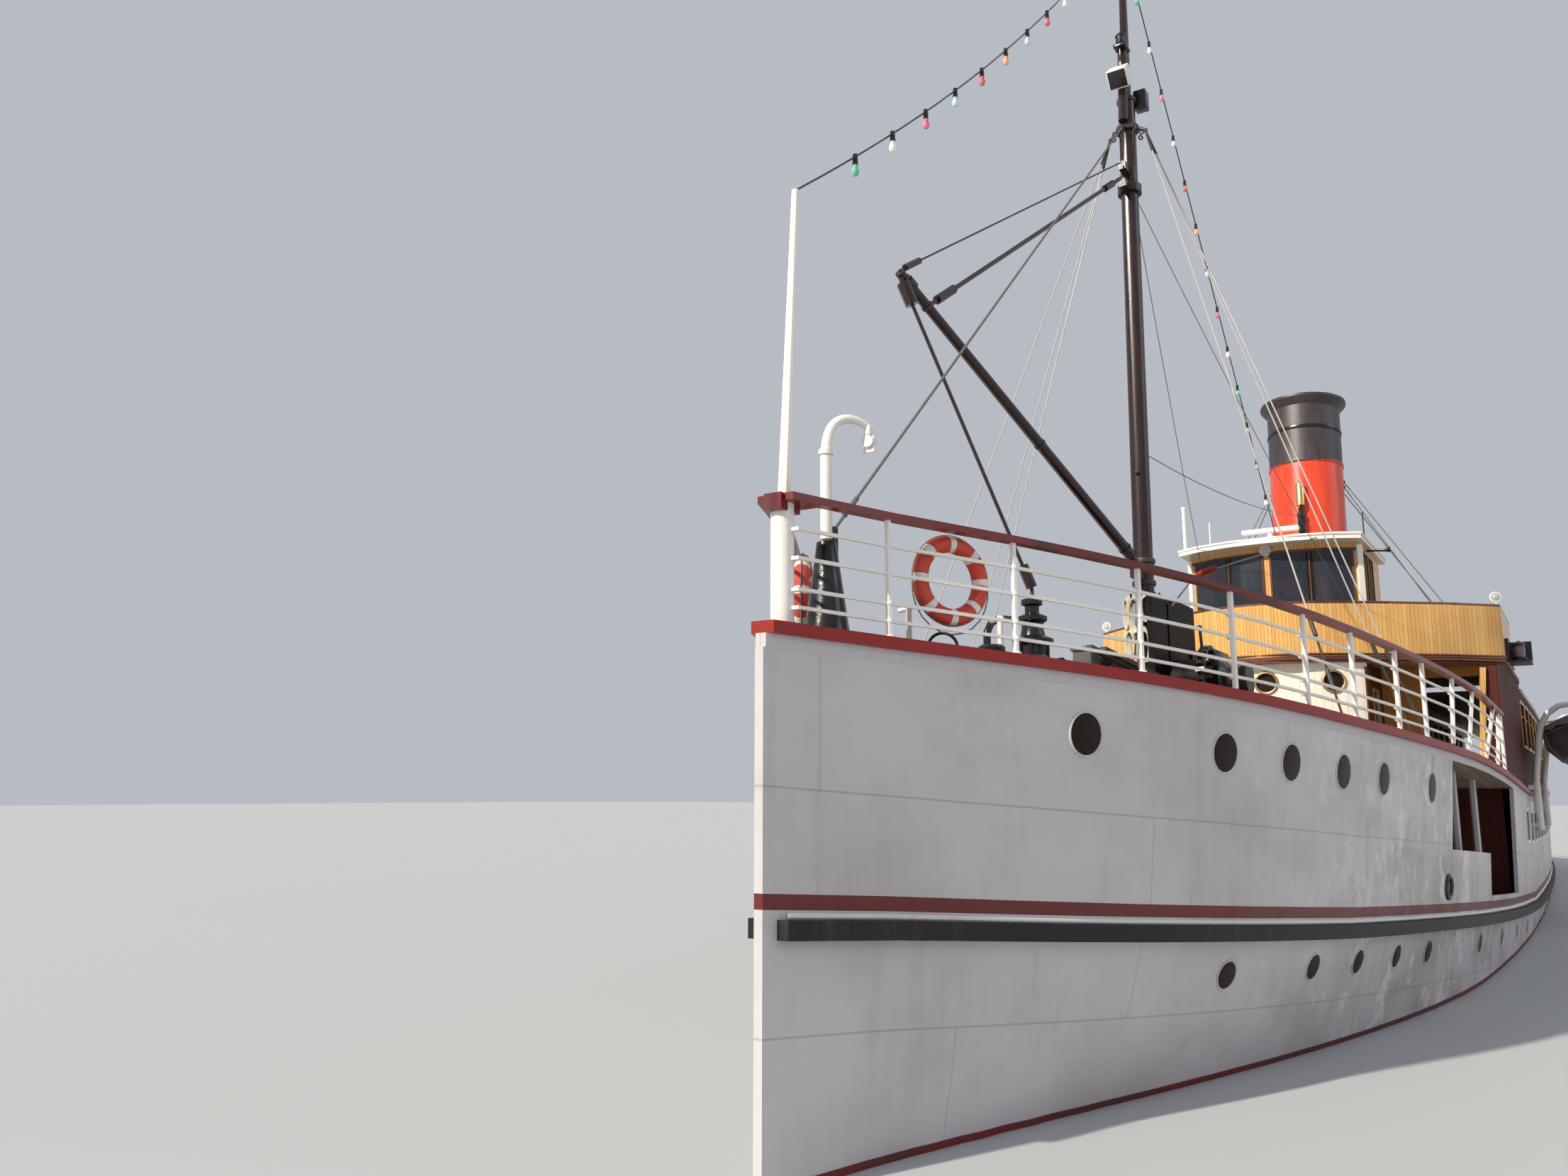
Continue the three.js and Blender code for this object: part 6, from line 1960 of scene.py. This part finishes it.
@dataclass
class Stays:
    """The foremast's stays, with rigging screws at their feet, and light lines between mast and bridge."""

    mast: MastFittings
    hounds: float = 12.0
    reach: float = 0.26
    feet: tuple[float, ...] = (6.86, 9.24, 9.97)
    plate: Spot = (1.03, 0.0, 4.64)
    cap: float = 0.096
    inset: float = 0.1

    def build(self) -> None:
        """Makes the pieces."""
        wires, dark, iron = Forge(), Forge(), Forge()
        axis = self.mast.on_mast(12.5) - self.mast.on_mast(3.5)
        band = self.hounds + 0.09
        iron.turned([(0.12, -0.04), (0.158, -0.04), (0.168, 0.0), (0.158, 0.04), (0.12, 0.04),
                     (0.12, -0.04)], self.mast.on_mast(band), axis, 32)
        top = self.mast.on_mast(self.hounds, self.reach)
        iron.rod(self.mast.on_mast(band, 0.14), top + AHEAD * 0.015, 0.028)
        foot = place(*self.plate)
        dark.tube([top, foot], 0.013, 8)
        dark.rod(top.lerp(foot, 0.955), top.lerp(foot, 0.98), 0.022)
        iron.ball(foot, 0.03)
        for _, sign in SIDES:
            top = self.mast.on_mast(self.hounds, 0.0, sign * self.reach)
            iron.rod(self.mast.on_mast(band, 0.0, sign * 0.14), top + TO_PORT * (sign * 0.015), 0.028)
            for aft in self.feet:
                foot = place(aft, sign * (deck_line(aft, 1) - self.inset), deck_line(aft, 2) + self.cap)
                wires.tube([top.lerp(foot, 0.04), top.lerp(foot, 0.87)], 0.0095, 8)
                iron.tube([top, top.lerp(foot, 0.045)], 0.018, 8)
                iron.tube([top.lerp(foot, 0.865), foot], 0.013, 8)
                for start, end in ((0.87, 0.895), (0.94, 0.965)):
                    iron.rod(top.lerp(foot, start), top.lerp(foot, end), 0.024)
                iron.knob([(0.05, 0.0), (0.045, 0.02), (0.02, 0.05)], foot - UP * 0.01)
        wires.finish("stay_wires", BRIGHT_WIRE, "wire", replaces=["foremast_stays"])
        dark.finish("forestay_wire", WIRE_ROPE, "wire")
        iron.finish("stay_screws", IRON, "wire")
        lines = Forge()
        whistle = place(20.72, 0.0, 8.55)
        start = self.mast.on_mast(7.25, -0.1)
        lines.tube([self.mast.hang(start, whistle, 0.18, k / 16) for k in range(17)], 0.007, 6)
        for up, aft, port in ((11.2, 17.3, -1.3), (11.2, 16.4, 1.4)):
            start, end = self.mast.on_mast(up, -0.1), place(aft, port, 7.0 if port < 0 else 5.96)
            lines.tube([self.mast.hang(start, end, 0.12, k / 12) for k in range(13)], 0.006, 6)
        guard = [place(10.5, port, up) for port, up in ((0.31, 5.67), (0.47, 5.72), (0.63, 5.75))]
        lines.tube([place(8.05, 0.645, 4.9), guard[0]], 0.012, 6)
        lines.tube([guard[2], place(17.05, 0.956, 7.34)], 0.01, 6)
        lines.finish("signal_lines", WIRE_ROPE, "wire")
        cover = Forge()
        cover.turned([(0.0, 0.0), (0.035, 0.04), (0.05, 0.12), (0.052, 0.2), (0.038, 0.3), (0.0, 0.35)],
                     guard[0], guard[2] - guard[0], 16)
        cover.finish("line_cover", CAP_RED, "red_brown")


@dataclass
class BoatFittings:
    """Strakes, covers, lashings and falls of the two boats."""

    fore: float = 21.3
    length: float = 6.4
    half: float = 0.88
    port: float = 4.8
    keel: float = 3.1
    gunwale: float = 3.95
    davits: tuple[float, ...] = (22.3, 26.9)
    cover_flat: tuple[float, float] = (1.05, 3.18)
    cover_area: float = 2.74

    def section(self, share: float) -> tuple[float, float, float, float]:
        """Gives a boat's section.

        Args:
            share: place along the boat.

        Returns:
            How far aft it is, its half-breadth, and the heights of its keel and gunwale.
        """
        full = max(0.05, math.sqrt(max(0.0, 1 - (2 * share - 1) ** 2))) * self.half
        rise = 0.28 * (2 * share - 1) ** 4
        return self.fore + share * self.length, full, self.keel + rise * 1.2, self.gunwale + rise * 0.6

    def cover(self, sign: float) -> Callable[[float, float], Vector]:
        """Gives the shape of a boat's canvas cover.

        Args:
            sign: 1 for the port boat and -1 for the starboard one.

        Returns:
            The shape, for shares along the boat and across it.
        """
        def shape(along: float, across: float) -> Vector:
            """Gives a point of the cover, whose outer fifth on each side hangs over the gunwale.

            Args:
                along: share of the boat's length.
                across: share of the cover's breadth.

            Returns:
                The point.
            """
            aft, full, _, edge = self.section(0.004 + 0.992 * along)
            turn = (across - 0.5) * 2
            hang = max(0.0, abs(turn) - 0.8) * 5
            wave = 0.02 * math.sin(along * 60)
            out = (min(abs(turn) / 0.8, 1.0) * (full + 0.03) + hang * 0.012) * math.copysign(1, turn)
            up = edge + 0.05 + 0.16 * full * (1 - min(abs(turn) / 0.8, 1.0) ** 1.6) - hang * (0.14 + wave)
            return place(aft, sign * self.port + out, up)
        return shape

    def build(self) -> None:
        """Makes the pieces."""
        strips, ropes, blocks = Forge(), Forge(), Forge()
        shares = [0.004, 0.02, 0.05, 0.09, 0.15, 0.22, 0.3, 0.4, 0.5, 0.6, 0.7, 0.78, 0.85, 0.91, 0.95, 0.98,
                  0.996]
        rows = [self.section(share) for share in shares]
        for side, sign in SIDES:
            for way in (1, -1):
                line = [place(a, sign * self.port + way * (f + 0.012), e - 0.12) for a, f, _, e in rows]
                strips.tube(line, 0.024)
            strips.tube([place(a, sign * self.port, k - 0.015) for a, _, k, _ in rows], 0.03)
            canvas = Forge()
            canvas.sheet(48, 14, self.cover(sign), 0.012)
            cover = canvas.finish(f"boat_cover_{side}", COVER, "boat_paint")
            for share in (0.24, 0.78):
                self.gripe(ropes, share, sign)
            for aft in self.davits:
                self.fall(ropes, blocks, aft, sign)
        strips.finish("boat_strakes", BOAT, "boat_paint")
        ropes.finish("boat_ropes", ROPE, "boat_paint")
        blocks.finish("boat_blocks", TRIM, "varnish")

    def gripe(self, ropes: Forge, share: float, sign: float) -> None:
        """Adds a lashing round a boat.

        Args:
            ropes: the piece that takes it.
            share: place along the boat.
            sign: 1 to port and -1 to starboard.
        """
        aft, full, keel, edge = self.section(share)
        half = [(0.0, keel - 0.05), (full * 0.62 + 0.02, keel + 0.15), (full * 0.92 + 0.03, keel + 0.45),
                (full + 0.045, edge), (full + 0.02, edge + 0.1), (full * 0.6, edge + 0.17),
                (0.0, edge + 0.25)]
        whole = [place(aft, sign * self.port + b, up) for b, up in half]
        whole += [place(aft, sign * self.port - b, up) for b, up in half[-2:0:-1]]
        ropes.tube([*whole, whole[0]], 0.014, 6)

    def fall(self, ropes: Forge, blocks: Forge, aft: float, sign: float) -> None:
        """Adds a boat fall between a davit's head and its boat.

        Args:
            ropes: the piece that takes the parts of rope.
            blocks: the piece that takes the blocks.
            aft: the davit's place.
            sign: 1 to port and -1 to starboard.
        """
        head = place(aft, sign * self.port, 4.36)
        for shift in (-0.04, 0.0, 0.04):
            ropes.rod(head + Vector((shift, 0.05, -0.02)), head + Vector((shift, 0.05, -0.3)), 0.01, sides=6)
        for drop in (0.05, 0.27):
            low = head - Vector((0.075, 0.05, drop + 0.05))
            blocks.block(low, low + Vector((0.15, 0.1, 0.1)), 0.03)
        arm = [(3.86, 2.9), (3.95, 3.5), (4.02, 3.95), (4.2, 4.3)]
        ropes.tube([place(aft + 0.09, sign * b, up) for b, up in arm], 0.012, 6)


@dataclass
class PromenadeFittings:
    """Screen posts, roof edges and battens, skylight, ventilators, benches and stern bollards."""

    deck: ShipSide
    roof: float = 4.8
    roof_range: tuple[float, float] = (23.05, 45.95)
    skylight: tuple[float, float] = (29.0, 30.9)
    skylight_half: float = 0.7
    cowls: Pairs = ((24.1, 1.25), (24.1, -1.25), (27.4, 1.1), (27.4, -1.1))
    screen_aft: float = 16.34

    def build(self) -> None:
        """Makes the pieces."""
        self.screen_posts()
        self.roof_trim()
        self.vents()
        self.benches()
        self.stern()

    def screen_posts(self) -> None:
        """Makes the varnished posts at the front edges of the side screens."""
        posts = Forge()
        for _, sign in SIDES:
            foot = place(self.screen_aft, sign * 3.27, 2.87)
            head = place(self.screen_aft, sign * 3.41, 4.69)
            posts.beam(foot, head, 0.09, 0.05, AHEAD)
        posts.finish("screen_posts", VARNISH, "varnish")

    def roof_trim(self) -> None:
        """Makes the roof's edge strip, its canvas battens and the skylight."""
        edge, battens, glass = Forge(), Forge(), Forge()
        start, end = self.roof_range
        count = 24
        for _, sign in SIDES:
            spots = [start + (end - start) * k / count for k in range(count + 1)]
            edge.tube([place(s, sign * (deck_line(s, 1) + 0.012), self.roof - 0.035) for s in spots], 0.03, 8)
        for aft in range(25, 46, 2):
            half = deck_line(aft, 1) - 0.05
            battens.beam(place(aft, -half, self.roof + 0.012), place(aft, half, self.roof + 0.012), 0.08,
                         0.025, UP)
        fore, aft = self.skylight
        half = self.skylight_half
        battens.block(place(aft, -half, self.roof), place(fore, half, self.roof + 0.16), 0.015)
        for _, sign in SIDES:
            ridge = [place(s, 0.02 * sign, self.roof + 0.5) for s in (aft, fore)]
            foot = [place(s, (half - 0.04) * sign, self.roof + 0.17) for s in (fore, aft)]
            out = Vector((0, sign * 0.45, 0.9)).normalized()
            Window([*foot, *ridge], out, 0.06, 0.03, 0.01, mullions=4).build(edge, glass)
        edge.finish("roof_edges", WHITE, "white_paint")
        battens.finish("roof_battens", ROOF, "red_brown")
        glass.finish("skylight_glass", WINDOW, "white_paint")

    def vents(self) -> None:
        """Makes four cowl ventilators abaft the bridge."""
        cowl, mouth = Forge(), Forge()
        for aft, port in self.cowls:
            foot = place(aft, port, self.roof)
            cowl.knob([(0.24, 0.0), (0.24, 0.03), (0.19, 0.05), (0.18, 0.75), (0.2, 0.78)], foot)
            steps = ((0, 0.7), (0, 0.85), (0.06, 0.98), (0.17, 1.06))
            cowl.tube([foot + Vector((ahead, 0, up)) for ahead, up in steps], 0.18, 20)
            way = Vector((1, 0, 0.12)).normalized()
            cowl.turned([(0.17, -0.14), (0.26, -0.02), (0.31, 0.12), (0.33, 0.14), (0.3, 0.14), (0.24, 0.02),
                         (0.0, -0.06)], foot + Vector((0.22, 0, 1.08)), way, 28)
            mouth.turned([(0.0, -0.04), (0.2, -0.01), (0.22, 0.02), (0.0, 0.0)],
                         foot + Vector((0.22, 0, 1.08)), way, 28)
        cowl.finish("ventilator_cowls", WHITE, "white_paint")
        mouth.finish("ventilator_throats", CAP_RED, "red_brown")

    def benches(self) -> None:
        """Makes slatted benches on the promenade deck."""
        slats, legs = Forge(), Forge()
        rows = [(fore, fore + 2.2, port) for fore in (39.6, 42.6) for port in (0.55, -0.55)]
        rows += [(fore, fore + 2.6, port) for fore in (27.2, 30.4, 33.6) for port in (2.05, -2.05)]
        for fore, aft, port in rows:
            side = math.copysign(1, port)
            deck = self.deck.down((fore + aft) / 2, port, 4.4).z
            for index in range(5):
                b = port + side * (0.09 * index - 0.16)
                slats.beam(place(fore, b, deck + 0.44), place(aft, b, deck + 0.44), 0.07, 0.03, UP)
            for index in range(3):
                up = deck + 0.56 + 0.12 * index
                b = port - side * (0.22 + 0.025 * index)
                slats.beam(place(fore, b, up), place(aft, b, up), 0.09, 0.025, Vector((0, side, 0.2)))
            for s in (fore + 0.15, (fore + aft) / 2, aft - 0.15):
                back = [(0.2, 0.0), (0.12, 0.2), (0.2, 0.42), (-0.2, 0.42), (-0.27, 0.84)]
                legs.tube([place(s, port + side * b, deck + up) for b, up in back], 0.018, 8)
                legs.rod(place(s, port - side * 0.2, deck), place(s, port - side * 0.2, deck + 0.42), 0.018)
        slats.finish("bench_slats", VARNISH, "varnish")
        legs.finish("bench_legs", BLACK, "black_paint")

    def stern(self) -> None:
        """Makes the stern bollards and the collar at the mast's head."""
        black, brass = Forge(), Forge()
        for aft in (46.8, 48.2):
            for _, sign in SIDES:
                for shift in (0.0, 0.42):
                    spot = self.deck.down(aft + shift, sign * (deck_line(aft + shift, 1) - 0.42), 4.4)
                    black.turned([(0.0, 0.0), (0.13, 0.0), (0.12, 0.04), (0.075, 0.06), (0.07, 0.28),
                                  (0.1, 0.32), (0.08, 0.37), (0.0, 0.38)], spot, UP, 20)
        brass.rod(place(9.53, 0, 15.4), place(9.532, 0, 15.44), 0.03)
        black.finish("stern_bollards", BLACK, "black_paint")
        brass.finish("truck_collar", BRASS, "brass")


@dataclass
class HatchFittings:
    """Boards, battens and cleats of the fore hatch."""

    fore: float = 10.12
    aft: float = 12.08
    half: float = 1.03
    top: float = 3.6

    def build(self) -> None:
        """Makes the pieces."""
        boards, iron = Forge(), Forge()
        for index in range(8):
            fore = self.fore + 0.07 + index * 0.228
            boards.block(place(fore + 0.215, -0.92, self.top), place(fore, 0.92, self.top + 0.035), 0.008)
        for port in (-0.5, 0.5):
            start, end = [place(aft, port, self.top + 0.045) for aft in (self.fore + 0.03, self.aft - 0.03)]
            iron.beam(start, end, 0.06, 0.014, UP)
        for index in range(4):
            for _, sign in SIDES:
                spot = place(self.fore + 0.25 + index * 0.48, sign * 1.035, self.top - 0.05)
                iron.block(spot - Vector((0.05, 0.02, 0.05)), spot + Vector((0.05, 0.02, 0.03)), 0.006)
        boards.finish("hatch_boards", GREY, "grey_paint")
        iron.finish("hatch_battens", IRON, "black_paint")


@dataclass
class BoomFittings:
    """Bands and the hook, which swing with the boom."""

    root: Spot = (8.727, 0.0, 5.64)
    head: Spot = (4.11, -1.0, 8.18)
    hook: Spot = (5.1, 0.0, 4.76)

    def build(self) -> None:
        """Makes the piece."""
        iron = Forge()
        root, head = place(*self.root), place(*self.head)
        for share, radius in ((0.05, 0.082), (0.45, 0.072), (0.9, 0.064), (0.98, 0.062)):
            iron.hoop(root.lerp(head, share), head - root, radius, 0.02, 0.004, sides=20)
        tip = place(*self.hook)
        iron.rod(tip, tip - UP * 0.12, 0.02)
        bend = [(0, -0.1), (0.055, -0.15), (0.05, -0.22), (0.0, -0.25), (-0.05, -0.22), (-0.055, -0.17)]
        iron.tube([tip + Vector((x, 0, z)) for x, z in bend], 0.018, 8)
        iron.finish("boom_ironwork", IRON, "mast_black", "boom")


def main() -> None:
    """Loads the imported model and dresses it."""
    logging.basicConfig(level=logging.INFO, format="%(message)s")
    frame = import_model()
    nodes = frame["nodes"]
    Studio().build()
    dress_nodes(nodes)
    side = ShipSide(nodes, "hull")
    ShellFittings(side).build()
    ForeRailFittings().build()
    mast = MastFittings()
    mast.build()
    Stays(mast).build()
    Glazing(nodes).build()
    BridgeFittings().build()
    HouseFittings().build()
    FunnelFittings().build()
    deck = ShipSide(nodes, "promenade_deck")
    ForedeckFittings(deck).build()
    HatchFittings().build()
    BoomFittings().build()
    BoatFittings().build()
    PromenadeFittings(deck).build()
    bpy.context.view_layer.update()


if __name__ == "__main__":
    main()
